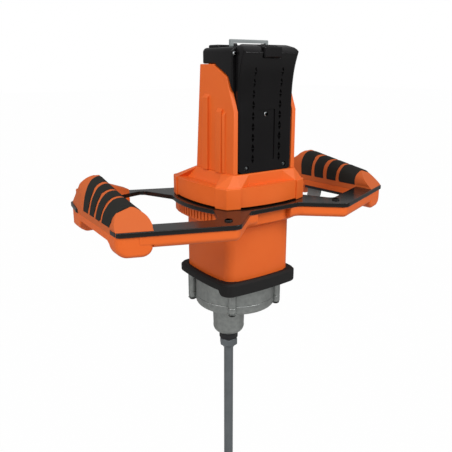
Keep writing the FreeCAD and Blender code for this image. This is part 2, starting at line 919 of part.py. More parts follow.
def pack_screws():
    floor = -pack_front + face_pocket
    heads = [Part.makeCylinder(face_screw_r, face_screw_t, V(x, floor - face_screw_t, z), Y_AXIS)
             for x, z in face_screw_places()]
    return Part.makeCompound(heads)


def pack_cells():
    """Two columns of round cells lying across the pack, held by a pair of plates on its floor."""
    back = pack_back - terminal_depth - pack_wall - gap - cell_pitch / 2
    low = pack_bottom + pack_wall
    cells = []
    for column in range(cell_columns):
        for row in range(cell_rows):
            place = V(-cell_length / 2, back - column * cell_pitch, low + (row + 0.5) * cell_pitch)
            cells.append(Part.makeCylinder(cell_r, cell_length, place, X_AXIS))
    front = back + cell_pitch / 2 - cell_columns * cell_pitch
    plates = []
    for s in SIDES:
        x = s * (cell_length / 2 - holder_inset)
        plates.append(box(V(x - holder_t / 2, front, low),
                          V(x + holder_t / 2, back + cell_pitch / 2, low + cell_rows * cell_pitch)))
    return joined(plates + cells)


def release_button():
    front = -pack_front - face_flare - button_proud
    low = pack_top - button_height + gap
    button = box(V(-button_half + gap, front, low), V(button_half - gap, front + button_depth, pack_top))
    rim = [e for e in button.Edges if e.BoundBox.YMax < front + gap]
    return button.makeChamfer(button_proud, rim)


def pull_bail():
    low = bail_pivot
    top_bar = box(V(-bail_half, bail_y - bail_t / 2, bail_top - bail_bar),
                  V(bail_half, bail_y + bail_t / 2, bail_top))
    pieces = [top_bar]
    for s in SIDES:
        inner = bail_half - bail_leg_w
        leg = box(V(inner, bail_y - bail_t / 2, low), V(bail_half, bail_y + bail_t / 2, bail_top))
        eye = Part.makeCylinder(bail_t / 2, bail_leg_w, V(inner, bail_y, low), X_AXIS)
        pin = Part.makeCylinder(bail_pin_r, bail_pin_length, V(inner - bail_pin_length, bail_y, low), X_AXIS)
        half = leg.fuse([eye, pin])
        pieces.append(half if s > 0 else mirrored(half))
    return joined(pieces)


def terminal_block():
    """The dock's contact block on the back wall, with a row of blades facing the pack."""
    back = dock_back
    front = back - terminal_depth + terminal_clear
    top = cradle_base + terminal_height
    block = box(V(-terminal_half, front + contact_depth, cradle_base), V(terminal_half, back, top))
    blades = []
    for i in range(terminal_blades):
        x = (i - (terminal_blades - 1) / 2) * contact_pitch
        blades.append(box(V(x - contact_t / 2, front, cradle_base), V(x + contact_t / 2, back, cradle_base + contact_height)))
    return joined([block] + blades)


# Motor

def stator():
    core = ring(0, 0, stator_outer_r, stator_inner_r, stator_bottom, stator_top)
    slots = []
    for i in range(stator_teeth):
        slot = box(V(stator_inner_r - overrun, -stator_slot_w / 2, stator_bottom - overrun),
                   V(stator_inner_r + stator_slot_depth, stator_slot_w / 2, stator_top + overrun))
        slot.rotate(CENTRE, Z_AXIS, 360 * i / stator_teeth)
        slots.append(slot)
    return core.cut(slots)


def rotor():
    """Magnet core, shaft and the pinion cut on the shaft's lower end."""
    core = post(0, 0, stator_inner_r - air_gap, stator_bottom, stator_top)
    shaft = post(0, 0, rotor_shaft_r, gear_top, rotor_shaft_top - gap)
    pinion = gear(gear_module, gear_pinion_teeth, gear_bottom, gear_top, 0)
    return joined([core, shaft, pinion])


def cooling_fan():
    fan_r = stator_outer_r - fan_margin
    hub_r = rotor_shaft_r + fan_hub_wall
    plate = ring(0, 0, fan_r, rotor_shaft_r, fan_top - fan_plate_t, fan_top)
    hub = ring(0, 0, hub_r, rotor_shaft_r, fan_top - fan_height, fan_top)
    blades = []
    for i in range(fan_blades):
        vane = box(V(hub_r - fan_blade_t, -fan_blade_t / 2, fan_top - fan_height),
                   V(fan_r, fan_blade_t / 2, fan_top))
        vane.rotate(CENTRE, Z_AXIS, 360 * i / fan_blades)
        blades.append(vane)
    return joined([plate, hub] + blades)


def rotor_bearings():
    inner = rotor_shaft_r + play
    upper = ring(0, 0, bearing_r, inner, rotor_shaft_top - bearing_h, rotor_shaft_top)
    lower = ring(0, 0, bearing_r, inner, case_room_top + seat_floor, motor_bottom)
    return Part.makeCompound([upper, lower])


# Gearbox

def involute_angle(radius, base_r):
    """How far an involute that starts on the base circle has turned at a radius."""
    if radius <= base_r:
        return 0
    pressure = math.acos(base_r / radius)
    return math.tan(pressure) - pressure


def gear(module, teeth, z_low, z_high, turn):
    """A spur gear with involute flanks, its teeth a little slim so that the mesh runs free."""
    pitch_r = module * teeth / 2
    base_r = pitch_r * math.cos(math.radians(pressure_angle))
    root_r = pitch_r - dedendum_share * module
    tip_r = pitch_r + addendum_share * module
    step = 2 * math.pi / teeth
    pitch_half = step * tooth_width_share / 2 + involute_angle(pitch_r, base_r)
    flank = [(r, pitch_half - involute_angle(r, base_r)) for r in (root_r, base_r, pitch_r, tip_r)]
    rising = [(r, -half) for r, half in flank]
    falling = [(r, half) for r, half in reversed(flank)]
    points = []
    for i in range(teeth):
        for radius, half in rising + falling:
            angle = turn + i * step + half
            points.append(V(radius * math.cos(angle), radius * math.sin(angle), z_low))
    return prism(Part.makePolygon(points + points[:1]), z_high - z_low)


def lay_place():
    """Where the lay shaft stands: at the two mesh distances from the motor and the spindle."""
    first = gear_module * (gear_pinion_teeth + gear_wheel_teeth) / 2
    second = final_module * (final_pinion_teeth + final_wheel_teeth) / 2
    y = (first * first - second * second + spindle_y * spindle_y) / (2 * spindle_y)
    return V(math.sqrt(first * first - y * y), y, 0)


def mesh_turn(centre, other, teeth_other, other_turn, teeth):
    """Turn that puts a gap of this gear in front of the other gear's tooth."""
    towards = math.atan2(other.y - centre.y, other.x - centre.x)
    other_phase = (towards + math.pi - other_turn) * teeth_other / (2 * math.pi)
    own_phase = 0.5 - other_phase
    return towards - own_phase * 2 * math.pi / teeth


def lay_shaft():
    """Lay shaft with the first wheel above and the final pinion below."""
    place = lay_place()
    wheel_turn = mesh_turn(place, CENTRE, gear_pinion_teeth, 0, gear_wheel_teeth)
    wheel = gear(gear_module, gear_wheel_teeth, gear_bottom, gear_top, wheel_turn)
    pinion = gear(final_module, final_pinion_teeth, final_bottom, gear_top, 0)
    low = cover_floor_top - lay_bearing_h
    shaft = post(0, 0, lay_shaft_r, low, case_room_top + lay_bearing_h)
    arbor = joined([wheel, pinion, shaft])
    arbor.translate(place)
    return arbor


def output_gear():
    place = V(0, spindle_y, 0)
    turn = mesh_turn(place, lay_place(), final_pinion_teeth, 0, final_wheel_teeth)
    wheel = gear(final_module, final_wheel_teeth, final_bottom, final_top, turn)
    wheel.translate(place)
    bore = post(0, spindle_y, spindle_neck_r, final_bottom - overrun, final_top + overrun)
    return wheel.cut(bore)


def lay_bearings():
    place = lay_place()
    inner = lay_shaft_r + play
    upper = ring(place.x, place.y, lay_bearing_r, inner, case_room_top, case_room_top + lay_bearing_h)
    lower = ring(place.x, place.y, lay_bearing_r, inner, cover_floor_top - lay_bearing_h, cover_floor_top)
    return Part.makeCompound([upper, lower])


def pillar_posts(radius, z_low, z_high):
    """One post at each of the four screw pillars; the back pair stands wider than the front one."""
    posts = []
    for angle, out in zip(pillar_angles, pillar_outs):
        x = (case_r + out) * math.cos(math.radians(angle))
        y = case_y + (case_r + out) * math.sin(math.radians(angle))
        posts += [post(s * x, y, radius, z_low, z_high) for s in SIDES]
    return posts


def gearbox_case():
    """Upper casting: its roof seats the motor's lower bearing and the lay shaft's upper one."""
    low = belt_side_bottom - gap
    wall = post(0, case_y, case_r, cover_split, low)
    neck = post(0, case_y, case_r, low, motor_bottom)
    neck = neck.common(bowed_square(motor_half - gap, motor_bow, motor_corner_r, low, motor_bottom))
    room = post(0, case_y, case_r - case_wall, cover_split - overrun, case_room_top)
    seat = post(0, 0, bearing_r + play, case_room_top + seat_floor, motor_bottom + overrun)
    way = post(0, 0, gear_module * gear_pinion_teeth / 2 + 2 * gear_module, case_room_top - overrun, motor_bottom)
    place = lay_place()
    lay_seat = post(place.x, place.y, lay_bearing_r + play, case_room_top - overrun,
                    case_room_top + lay_bearing_h)
    body = joined([wall, neck] + pillar_posts(pillar_r, cover_split, low))
    holes = pillar_posts(pillar_hole_r + play, cover_split - overrun, motor_bottom + overrun)
    return body.cut([room, seat, way, lay_seat] + holes)


def cover_shell():
    """The lower casting's bowl, rounded at its bottom edge."""
    bowl = post(0, case_y, case_r, cover_bottom, cover_split)
    rim = [e for e in bowl.Edges if e.BoundBox.ZMax < cover_bottom + gap]
    return bowl.makeFillet(cover_edge, rim)


def nose_solid():
    """The spindle nose: a drafted barrel with its end drawn in on a quarter round."""
    middle_share = math.sqrt(0.5)
    drop = nose_round_top - nose_end
    shrink = nose_low_r - nose_end_r
    top = V(nose_top_r, 0, cover_floor_top)
    low = V(nose_low_r, 0, nose_round_top)
    turn = V(nose_end_r + shrink * middle_share, 0, nose_round_top - drop * middle_share)
    end = V(nose_end_r, 0, nose_end)
    edges = [
        Part.LineSegment(V(0, 0, cover_floor_top), top).toShape(),
        Part.LineSegment(top, low).toShape(),
        Part.Arc(low, turn, end).toShape(),
        Part.LineSegment(end, V(0, 0, nose_end)).toShape(),
        Part.LineSegment(V(0, 0, nose_end), V(0, 0, cover_floor_top)).toShape(),
    ]
    barrel = Part.Face(Part.Wire(edges)).revolve(CENTRE, Z_AXIS, 360)
    barrel.translate(V(0, spindle_y, 0))
    return barrel


def gearbox_cover():
    place = lay_place()
    boss = post(place.x, place.y, lay_boss_r, cover_bottom - lay_boss_rise, cover_floor_top)
    body = joined([cover_shell(), nose_solid(), boss] + pillar_posts(pillar_r, pillar_bottom, cover_split))
    room = post(0, case_y, case_r - case_wall, cover_floor_top, cover_split + overrun)
    upper_seat = post(0, spindle_y, spindle_bearing_r + play, upper_bearing_low, cover_floor_top + overrun)
    bore = post(0, spindle_y, spindle_bearing_r - spindle_bearing_step + play, lower_bearing_low, cover_floor_top)
    way = post(0, spindle_y, spindle_r + 2 * gap, nose_end - overrun, cover_floor_top)
    seal_seat = post(0, spindle_y, seal_r + play, nose_end - overrun, nose_end + seal_h)
    lay_seat = post(place.x, place.y, lay_bearing_r + play, cover_floor_top - lay_bearing_h,
                    cover_floor_top + overrun)
    holes = pillar_posts(pillar_hole_r + play, pillar_bottom - overrun, cover_split + overrun)
    holes += pillar_posts(pillar_head_r + gap, cover_bottom - overrun, pillar_bottom)
    return body.cut([room, upper_seat, bore, way, seal_seat, lay_seat] + holes)


def gearbox_screws():
    heads = pillar_posts(pillar_head_r, pillar_bottom - pillar_hole_r, pillar_bottom)
    shanks = pillar_posts(pillar_hole_r, pillar_bottom, belt_side_bottom - case_wall)
    return Part.makeCompound([head.fuse(shank).removeSplitter() for head, shank in zip(heads, shanks)])


def spindle_bearings():
    """The upper bearing is a size wider than the lower one, so each has a shoulder below it."""
    outer = spindle_bearing_r
    inner = spindle_r + play
    upper = ring(0, spindle_y, outer, inner, upper_bearing_low, cover_floor_top)
    lower = ring(0, spindle_y, outer - spindle_bearing_step, inner, lower_bearing_low,
                 lower_bearing_low + spindle_bearing_h)
    return Part.makeCompound([upper, lower])


def oil_seal():
    return ring(0, spindle_y, seal_r, spindle_r + play, nose_end, nose_end + seal_h)


# Spindle, rod and paddle

def spindle():
    neck = post(0, spindle_y, spindle_neck_r, final_bottom, final_top)
    shaft = post(0, spindle_y, spindle_r, spindle_end, final_bottom)
    bore = post(0, spindle_y, spindle_bore_r, spindle_end - overrun, spindle_end + stud_length)
    return neck.fuse(shaft).cut(bore).removeSplitter()


def dust_collar():
    collar = ring(0, spindle_y, spindle_r + collar_t, spindle_r + play, spindle_end, nose_end - gap)
    rim = [e for e in collar.Edges if e.BoundBox.ZMax < spindle_end + gap and e.BoundBox.XMax > spindle_r + gap]
    return collar.makeChamfer(collar_t / 3, rim)


def mixer_rod():
    """Rod with a threaded stud and a hexagon for the spanner; the hexagon's corners are turned off."""
    corner_r = hex_flats / math.sqrt(3)
    points = [V(corner_r * math.cos(math.radians(60 * i)), corner_r * math.sin(math.radians(60 * i)), 0)
              for i in range(6)]
    low = hex_low
    nut = prism(Part.makePolygon(points + points[:1]), hex_length)
    nut.translate(V(0, 0, low))
    middle = hex_length / 2
    lower_cone = Part.makeCone(hex_flats / 2 - hex_chamfer, corner_r + middle, middle, V(0, 0, low))
    upper_cone = Part.makeCone(corner_r + middle, hex_flats / 2 - hex_chamfer, middle, V(0, 0, low + middle))
    nut = nut.common(lower_cone.fuse(upper_cone))
    cone = Part.makeCone(rod_r, hex_flats / 2 - hex_chamfer, rod_cone, V(0, 0, low - rod_cone))
    rod = post(0, 0, rod_r, rod_end, low - rod_cone)
    stud = post(0, 0, spindle_bore_r - play, spindle_end, spindle_end + stud_length - gap)
    whole = joined([nut, cone, rod, stud])
    whole.translate(V(0, spindle_y, 0))
    return whole


def paddle_ring():
    """The foot ring and the three spokes that carry it on the rod's end."""
    low = rod_end
    hoop = ring(0, 0, paddle_r, paddle_r - paddle_ring_w, low, low + paddle_ring_h)
    hub = post(0, 0, rod_r + spoke_t, low - spoke_t, low)
    spokes = []
    for i in range(blade_count):
        spoke = box(V(0, -spoke_w / 2, low - spoke_t), V(paddle_r - paddle_ring_w / 2, spoke_w / 2, low))
        spoke.rotate(CENTRE, Z_AXIS, 360 * i / blade_count)
        spokes.append(spoke)
    whole = joined([hoop, hub] + spokes)
    whole.translate(V(0, spindle_y, 0))
    return whole


def ribbon_section(share, start_angle):
    """Cross-section of a blade part of the way up: it leans in from the ring to the rod."""
    angle = math.radians(start_angle + blade_turn * share)
    low = rod_end + paddle_ring_h + blade_rise * share
    ease = share * share * share
    inner = (paddle_r - ribbon_w) * (1 - ease) + (rod_r + play) * ease
    width = ribbon_w * (1 - ease) + ribbon_top_w * ease
    along = V(math.cos(angle), math.sin(angle), 0)
    corners = [along * inner, along * (inner + width)]
    lower = [at_height(p, low) for p in corners]
    upper = [at_height(p, low + ribbon_t) for p in reversed(corners)]
    points = lower + upper
    return Part.makePolygon(points + points[:1])


def paddle_blades():
    blades = []
    for i in range(blade_count):
        rows = [ribbon_section(k / (blade_sections - 1), 360 * i / blade_count) for k in range(blade_sections)]
        blade = Part.makeLoft(rows, True, True)
        blade.translate(V(0, spindle_y, 0))
        blades.append(blade)
    return Part.makeCompound(blades)


# Grips

def carried(shape):
    """Turn a shape from the grip's own axis to the right-hand grip's place."""
    shape = shape.copy()
    shape.rotate(CENTRE, Z_AXIS, grip_toe)
    shape.translate(X_AXIS * grip_x)
    return shape


def grip_height(y):
    slope = (grip_back_h - grip_front_h) / (grip_back_y - grip_front_y)
    return grip_front_h + (y - grip_front_y) * slope


def grip_section(y, grow, low):
    """A D-shaped section of the grip: short upright sides under a crown that leans to the body."""
    half = grip_half + grow
    crown = grip_height(y) - grip_side + grow
    points = []
    for i in range(grip_points):
        angle = math.pi * i / (grip_points - 1)
        rise = math.sin(angle) ** crown_share if 0 < i < grip_points - 1 else 0
        spread = math.copysign(abs(math.cos(angle)) ** crown_share, math.cos(angle))
        points.append(V(half * spread - grip_crest_in * rise, y, grip_side + crown * rise))
    curve = Part.BSplineCurve()
    curve.interpolate(points)
    foot = [V(-half, y, low), V(half, y, low)]
    edges = [
        curve.toShape(),
        Part.LineSegment(points[-1], foot[0]).toShape(),
        Part.LineSegment(foot[0], foot[1]).toShape(),
        Part.LineSegment(foot[1], points[0]).toShape(),
    ]
    return Part.Wire(edges)


def grip_solid(grow, low):
    ends = (grip_front_y - grip_run_on, grip_back_y + grip_run_on)
    rows = [grip_section(y, grow, low) for y in ends]
    return Part.makeLoft(rows, True, True)


def facet_cut(first, last, angle, low):
    """What lies in front of a facet that rises from a line over the plate, leaning back at an angle."""
    along = (last - first).normalize()
    out = along.cross(Z_AXIS)
    reach = 2 * grip_half + grip_run_on + grip_back_h
    start = first - along * reach - out * facet_inset
    lean = out * (-reach * math.cos(math.radians(angle))) + Z_AXIS * (reach * math.sin(math.radians(angle)))
    points = [start + Z_AXIS * low, start, start + lean, start + lean + out * 2 * reach, start + out * reach * 2
              + Z_AXIS * low]
    face = Part.Face(Part.makePolygon(points + points[:1]))
    return face.extrude(along * (2 * reach + (last - first).Length))


def front_edge():
    return V(front_bend_x, -front_bend_y, 0), V(front_tip_x, -front_tip_y, 0)


def back_edge():
    return V(back_tip_x, back_tip_y, 0), V(back_bend_x, back_bend_y, 0)


def side_edge():
    """The plate's outer edge along the back tab; the grip's side turns in beside it."""
    return V(back_tip_x + back_tab_flare, back_tip_y - back_tab, 0), V(back_tip_x, back_tip_y, 0)


def grip_bands_solid():
    """Four rubber bands over the crown, each a slice of a skin round the grip."""
    skin = grip_solid(band_proud, -plate_t).cut(grip_solid(-band_t, -plate_t - overrun))
    reach = 2 * grip_half
    bands = []
    for start, end in zip(band_start_shares, band_end_shares):
        corners = [band_edge(end, -reach), band_edge(end, reach), band_edge(start, reach), band_edge(start, -reach)]
        slab = prism(outline(corners, [0] * len(corners), grip_side), 2 * reach)
        bands.append(skin.common(slab))
    return bands


def band_edge(share, x):
    """A point of a band's edge in plan; towards the back the edges run forward on the outer side."""
    back = grip_back_y - band_back_inset
    length = grip_front_y + band_front_inset - back
    across_share = (x + grip_half) / (2 * grip_half)
    return V(x, back + length * share - band_skew * (1 - share) * across_share, 0)


def back_pad(z_low, z_end, z_high):
    """The stretch of a grip shell that reaches along the back arm, its top sloping up to the grip."""
    inner = grip_x - pad_reach
    profile = [(inner, z_low), (grip_x, z_low), (grip_x, z_high), (inner + pad_slope, z_high), (inner, z_end)]
    corners = [V(x, 0, z) for x, z in profile]
    clip = Part.Face(Part.makePolygon(corners + corners[:1])).extrude(Y_AXIS * (back_bend_y + overrun))
    return plate_blank(z_low, z_high).common(clip)


def grip_upper():
    """Upper grip shell of the right hand, closed round the plate's edge and cut off at both ends."""
    body = carried(grip_solid(0, -plate_t))
    bands = [carried(b) for b in grip_bands_solid()]
    low = -plate_t - overrun
    brow = [p + Y_AXIS * brow_back for p in back_edge()]
    facets = [facet_cut(*front_edge(), front_facet_angle, low), facet_cut(*back_edge(), back_facet_angle, low),
              facet_cut(*side_edge(), side_facet_angle, low), facet_cut(*brow, brow_angle, low)]
    body = body.cut(facets).fuse(back_pad(0, pad_end_rise, pad_rise))
    plate = plate_blank(low, 0)
    holes = grip_screw_posts(plate_screw_r, low, grip_screw_top)
    return body.cut([plate] + bands + holes).removeSplitter()


def grip_bands():
    return Part.makeCompound([carried(b) for b in grip_bands_solid()])


def base_profile(y_front, y_back):
    """Side view of a grip base: a foot at each end and a shallow bridge between them."""
    front_heel = grip_front_y + front_foot_length
    back_heel = grip_back_y - back_foot_length
    return [
        (y_front, -plate_t), (y_front, foot_z), (front_heel - foot_slope, foot_z), (front_heel, bridge_z),
        (back_heel, bridge_z), (back_heel + foot_slope, foot_z), (y_back, foot_z), (y_back, -plate_t),
    ]


def grip_base():
    """Lower grip shell: a rounded foot at each end, joined by a bridge under the plate."""
    front = grip_front_y - grip_run_on
    back = grip_back_y + grip_run_on
    inner = -grip_half
    feet = side_profile(base_profile(front, back), inner, grip_half)
    corners = [V(inner, front, 0), V(grip_half, front, 0), V(grip_half, front, foot_z), V(inner, front, foot_z)]
    hull = Part.Face(Part.Wire(rounded_edges(corners, [0, 0, foot_r, foot_r]))).extrude(Y_AXIS * (back - front))
    body = carried(feet.common(hull))
    upright = 90
    low = foot_z - overrun
    ends = [facet_cut(*edge, upright, low) for edge in (front_edge(), back_edge(), side_edge())]
    body = body.cut(ends).fuse(back_pad(bridge_z, -plate_t, -plate_t))
    holes = grip_screw_posts(plate_screw_r, low, overrun)
    holes += grip_screw_posts(plate_screw_head_r + gap, low, foot_z + grip_screw_sink)
    return body.cut(holes).removeSplitter()


def right_grip_base():
    return grip_base().cut([carried(trigger_pocket()), trigger_pin()]).removeSplitter()


def arm_cover():
    """Channel under the right front arm, drawn in from the plate's edge; it ends at the grip base."""
    low = -plate_t - cover_depth
    outer = plate_outline(low).makeOffset2D(-cover_inset)
    window = window_outline(low).makeOffset2D(cover_inset)
    clip = box(V(cover_start_x, -front_bend_y - overrun, low), V(grip_x, -cap_half, -plate_t))
    arm = prism(outer, cover_depth).cut(prism(window, cover_depth)).common(clip)
    cut_faces = [f for f in arm.Faces if f.BoundBox.XLength < gap or f.BoundBox.YLength < gap]
    cut_edges = [e.hashCode() for f in cut_faces for e in f.Edges]
    rim = [e for e in arm.Edges if e.BoundBox.ZMax < low + gap and e.hashCode() not in cut_edges]
    arm = arm.makeFillet(cover_round, rim)
    ring_room = prism(body_outline(vent_ring_half + gap, vent_ring_bow, low), cover_depth)
    shank = post(plate_screw_x, plate_screw_front_y, plate_screw_r, -plate_screw_length, 0)
    return arm.cut([ring_room, shank, grip_base()]).removeSplitter()


def trigger_pocket():
    """Room inside the right grip base for the trigger's lever and the switch behind it."""
    half = trigger_w / 2 + trigger_room
    return box(V(pocket_inner, trigger_y - half, bridge_z - overrun),
               V(pocket_outer, trigger_y + half, -plate_t - pocket_roof))


def switch_frame():
    """Black strip under the right grip base, tapered at its front end and slotted for the trigger."""
    low = bridge_z - switch_t
    inner = switch_inset - grip_half
    front = grip_front_y + front_foot_length + gap
    back = grip_back_y - back_foot_length - gap
    corners = [V(inner, front, 0), V(inner + switch_w, front + switch_taper, 0),
               V(inner + switch_w, back, 0), V(inner, back, 0)]
    strip = prism(outline(corners, [0] * len(corners), low), switch_t)
    half = trigger_w / 2 + trigger_room
    slot = box(V(pocket_inner, trigger_y - half, low - overrun), V(trigger_pin_x, trigger_y + half, overrun))
    return carried(strip.cut(slot))


def trigger_switch():
    half = trigger_w / 2 - trigger_room
    block = box(V(trigger_pin_x + switch_body_offset, trigger_y - half, bridge_z),
                V(pocket_outer, trigger_y + half, -plate_t - pocket_roof))
    return carried(block)


def trigger_pin():
    half = trigger_w / 2 + trigger_room + pin_bite
    pin = Part.makeCylinder(trigger_pin_r, 2 * half, V(trigger_pin_x, trigger_y - half, trigger_pin_z), Y_AXIS)
    return carried(pin)


def trigger():
    """A curved finger blade on a lever that swings on the pin, drawn from the pin's centre."""
    points = [V(trigger_pin_x + x, 0, trigger_pin_z + z) for x, z in trigger_outline]
    blade = Part.Face(Part.makePolygon(points + points[:1])).extrude(Y_AXIS * trigger_w)
    eye = Part.makeCylinder(trigger_eye_r, trigger_w, V(trigger_pin_x, 0, trigger_pin_z), Y_AXIS)
    hole = Part.makeCylinder(trigger_pin_r + play, trigger_w, V(trigger_pin_x, 0, trigger_pin_z), Y_AXIS)
    lever = blade.fuse(eye).cut(hole).removeSplitter()
    lever.translate(Y_AXIS * (trigger_y - trigger_w / 2))
    return carried(lever)


PIECES = {
    "frame_plate": frame_plate,
    "plate_screws": plate_screws,
    "grip_screws": grip_screws,
    "upper_cap": upper_cap,
    "controller": controller,
    "battery_cradle": battery_cradle,
    "terminal_block": terminal_block,
    "vent_ring": vent_ring,
    "motor_housing": motor_housing,
    "guard_belt": guard_belt,
    "stator": stator,
    "gearbox_case": gearbox_case,
    "gearbox_cover": gearbox_cover,
    "gearbox_screws": gearbox_screws,
    "rotor_bearings": rotor_bearings,
    "lay_bearings": lay_bearings,
    "spindle_bearings": spindle_bearings,
    "oil_seal": oil_seal,
    "rotor": rotor,
    "cooling_fan": cooling_fan,
    "lay_shaft": lay_shaft,
    "output_gear": output_gear,
    "spindle": spindle,
    "dust_collar": dust_collar,
    "mixer_rod": mixer_rod,
    "paddle_ring": paddle_ring,
    "paddle_blades": paddle_blades,
    "pack_case": pack_case,
    "pack_face": pack_face,
    "pack_screws": pack_screws,
    "pack_cells": pack_cells,
    "release_button": release_button,
    "pull_bail": pull_bail,
    "switch_frame": switch_frame,
    "trigger_switch": trigger_switch,
    "trigger_pin": trigger_pin,
    "trigger": trigger,
    "right_grip_base": right_grip_base,
}
HANDED = {"grip": grip_upper, "grip_bands": grip_bands, "arm_cover": arm_cover}

os.makedirs("parts", exist_ok=True)
shapes = {name: make() for name, make in PIECES.items()}
for name, make in HANDED.items():
    shapes["right_" + name] = make()
    shapes["left_" + name] = mirrored(shapes["right_" + name])
shapes["left_grip_base"] = mirrored(grip_base())
for name, shape in shapes.items():
    shape.exportStep("parts/" + name + ".step")
    print(name, "solids", len(shape.Solids), "valid", shape.isValid(), "volume", round(shape.Volume))
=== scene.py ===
import json
import math

import bmesh
import bpy
from mathutils import Matrix, Vector
from mathutils.bvhtree import BVHTree


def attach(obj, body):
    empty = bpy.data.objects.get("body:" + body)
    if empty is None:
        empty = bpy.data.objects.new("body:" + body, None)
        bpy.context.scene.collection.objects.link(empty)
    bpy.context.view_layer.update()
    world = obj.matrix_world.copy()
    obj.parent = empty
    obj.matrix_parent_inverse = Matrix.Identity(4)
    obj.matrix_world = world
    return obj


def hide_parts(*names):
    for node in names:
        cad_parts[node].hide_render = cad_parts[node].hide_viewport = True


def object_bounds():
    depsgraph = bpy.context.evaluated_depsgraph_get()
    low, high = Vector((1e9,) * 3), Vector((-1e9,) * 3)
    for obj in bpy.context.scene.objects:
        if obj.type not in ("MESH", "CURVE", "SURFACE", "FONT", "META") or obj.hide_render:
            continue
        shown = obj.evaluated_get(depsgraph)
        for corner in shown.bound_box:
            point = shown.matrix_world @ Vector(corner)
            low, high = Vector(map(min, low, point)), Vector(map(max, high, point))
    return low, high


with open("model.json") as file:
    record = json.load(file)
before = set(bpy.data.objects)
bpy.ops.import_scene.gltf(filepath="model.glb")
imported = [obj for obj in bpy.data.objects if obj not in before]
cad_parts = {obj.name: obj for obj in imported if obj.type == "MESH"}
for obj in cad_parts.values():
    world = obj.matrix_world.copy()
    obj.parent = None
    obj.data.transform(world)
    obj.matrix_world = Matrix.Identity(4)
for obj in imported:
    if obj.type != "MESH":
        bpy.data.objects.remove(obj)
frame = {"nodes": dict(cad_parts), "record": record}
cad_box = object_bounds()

# The handle plate: one steel plate with two hand windows, laser cut, deburred and powder coated.
# It is clamped between the two body shells and carries the grips and the channels under its arms.
MM = 0.001
WELD = 0.005 * MM
FLAT_TURN = math.radians(0.6)
SHARP_TURN = math.radians(32)
CREASE_TURN = math.radians(38)
ROOM_SHARE = 2.3
STRAY_SHARE = 1.02
body_of = {node: body for body, nodes in frame["record"]["behaviour"]["bodies"].items() for node in nodes}


def linear(colour):
    """An sRGB hex colour as the linear RGBA that a shader socket takes."""
    shares = [int(colour[i:i + 2], 16) / 255 for i in (1, 3, 5)]
    return [s / 12.92 if s <= 0.04045 else ((s + 0.055) / 1.055) ** 2.4 for s in shares] + [1]


def add(tree, kind, inputs, **settings):
    """Adds one node; an input takes a value, or a socket to link from."""
    made = tree.nodes.new(kind)
    for name, value in settings.items():
        setattr(made, name, value)
    for name, value in inputs.items():
        if isinstance(value, bpy.types.NodeSocket):
            tree.links.new(value, made.inputs[name])
        else:
            made.inputs[name].default_value = value
    return made


def start_finish(name, **even):
    """A new material with its even values on the shader; gives it with its tree, shader and coordinates."""
    finish = bpy.data.materials.new(name)
    finish.use_nodes = True
    tree = finish.node_tree
    shader = tree.nodes["Principled BSDF"]
    for socket, value in even.items():
        shader.inputs[socket.replace("_", " ")].default_value = value
    return finish, tree, shader, add(tree, "ShaderNodeTexCoord", {}).outputs["Object"]


def mottle(tree, shader, place, cloud, colours, roughness):
    """Clouds of one size that drift between two colours and two roughness values."""
    clouds = add(tree, "ShaderNodeTexNoise", {"Vector": place, "Scale": 1 / cloud, "Detail": 4.0})
    tint = add(tree, "ShaderNodeMix", {0: clouds.outputs[0], 6: linear(colours[0]), 7: linear(colours[1])},
               data_type="RGBA")
    tree.links.new(tint.outputs[2], shader.inputs["Base Color"])
    sheen = add(tree, "ShaderNodeMapRange", {"Value": clouds.outputs[0], "To Min": roughness[0],
                                             "To Max": roughness[1]})
    tree.links.new(sheen.outputs["Result"], shader.inputs["Roughness"])


def roughen(tree, shader, place, grain, depth):
    """A moulded, blasted or sprayed grain: bumps of one size and depth all over."""
    bumps = add(tree, "ShaderNodeTexNoise", {"Vector": place, "Scale": 1 / grain, "Detail": 2.0})
    relief = add(tree, "ShaderNodeBump", {"Height": bumps.outputs[0], "Strength": 1.0, "Distance": depth})
    tree.links.new(relief.outputs["Normal"], shader.inputs["Normal"])


def mottled_finish(name, cloud, colours, roughness, grain, depth, **even):
    """A new material with clouds and a grain. The real grain is often too fine for the picture,
    so it is drawn as coarse as it needs to show."""
    finish, tree, shader, place = start_finish(name, **even)
    mottle(tree, shader, place, cloud, colours, roughness)
    roughen(tree, shader, place, grain, depth)
    return finish


def settle(mesh, name, body, finish, replaced=()):
    """Turns a bmesh into a piece of the object, smooth shaded between its creases, on its body."""
    for face in mesh.faces:
        face.smooth = True
    for edge in mesh.edges:
        edge.smooth = edge.smooth and len(edge.link_faces) == 2 and edge.calc_face_angle() < CREASE_TURN
    data = bpy.data.meshes.new(name)
    mesh.to_mesh(data)
    mesh.free()
    data.materials.append(finish)
    piece = bpy.data.objects.new(name, data)
    bpy.context.scene.collection.objects.link(piece)
    piece.modifiers.new("even_normals", "WEIGHTED_NORMAL").keep_sharp = True
    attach(piece, body)
    if replaced:
        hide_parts(*replaced)


def solid(node):
    """One solid of the frame as a welded mesh of whole faces, free to be worked on."""
    mesh = bmesh.new()
    mesh.from_mesh(frame["nodes"][node].data)
    bmesh.ops.remove_doubles(mesh, verts=mesh.verts, dist=WELD)
    bmesh.ops.dissolve_limit(mesh, angle_limit=FLAT_TURN, verts=mesh.verts, edges=mesh.edges)
    for edge in mesh.edges:
        edge.smooth = True
    return mesh


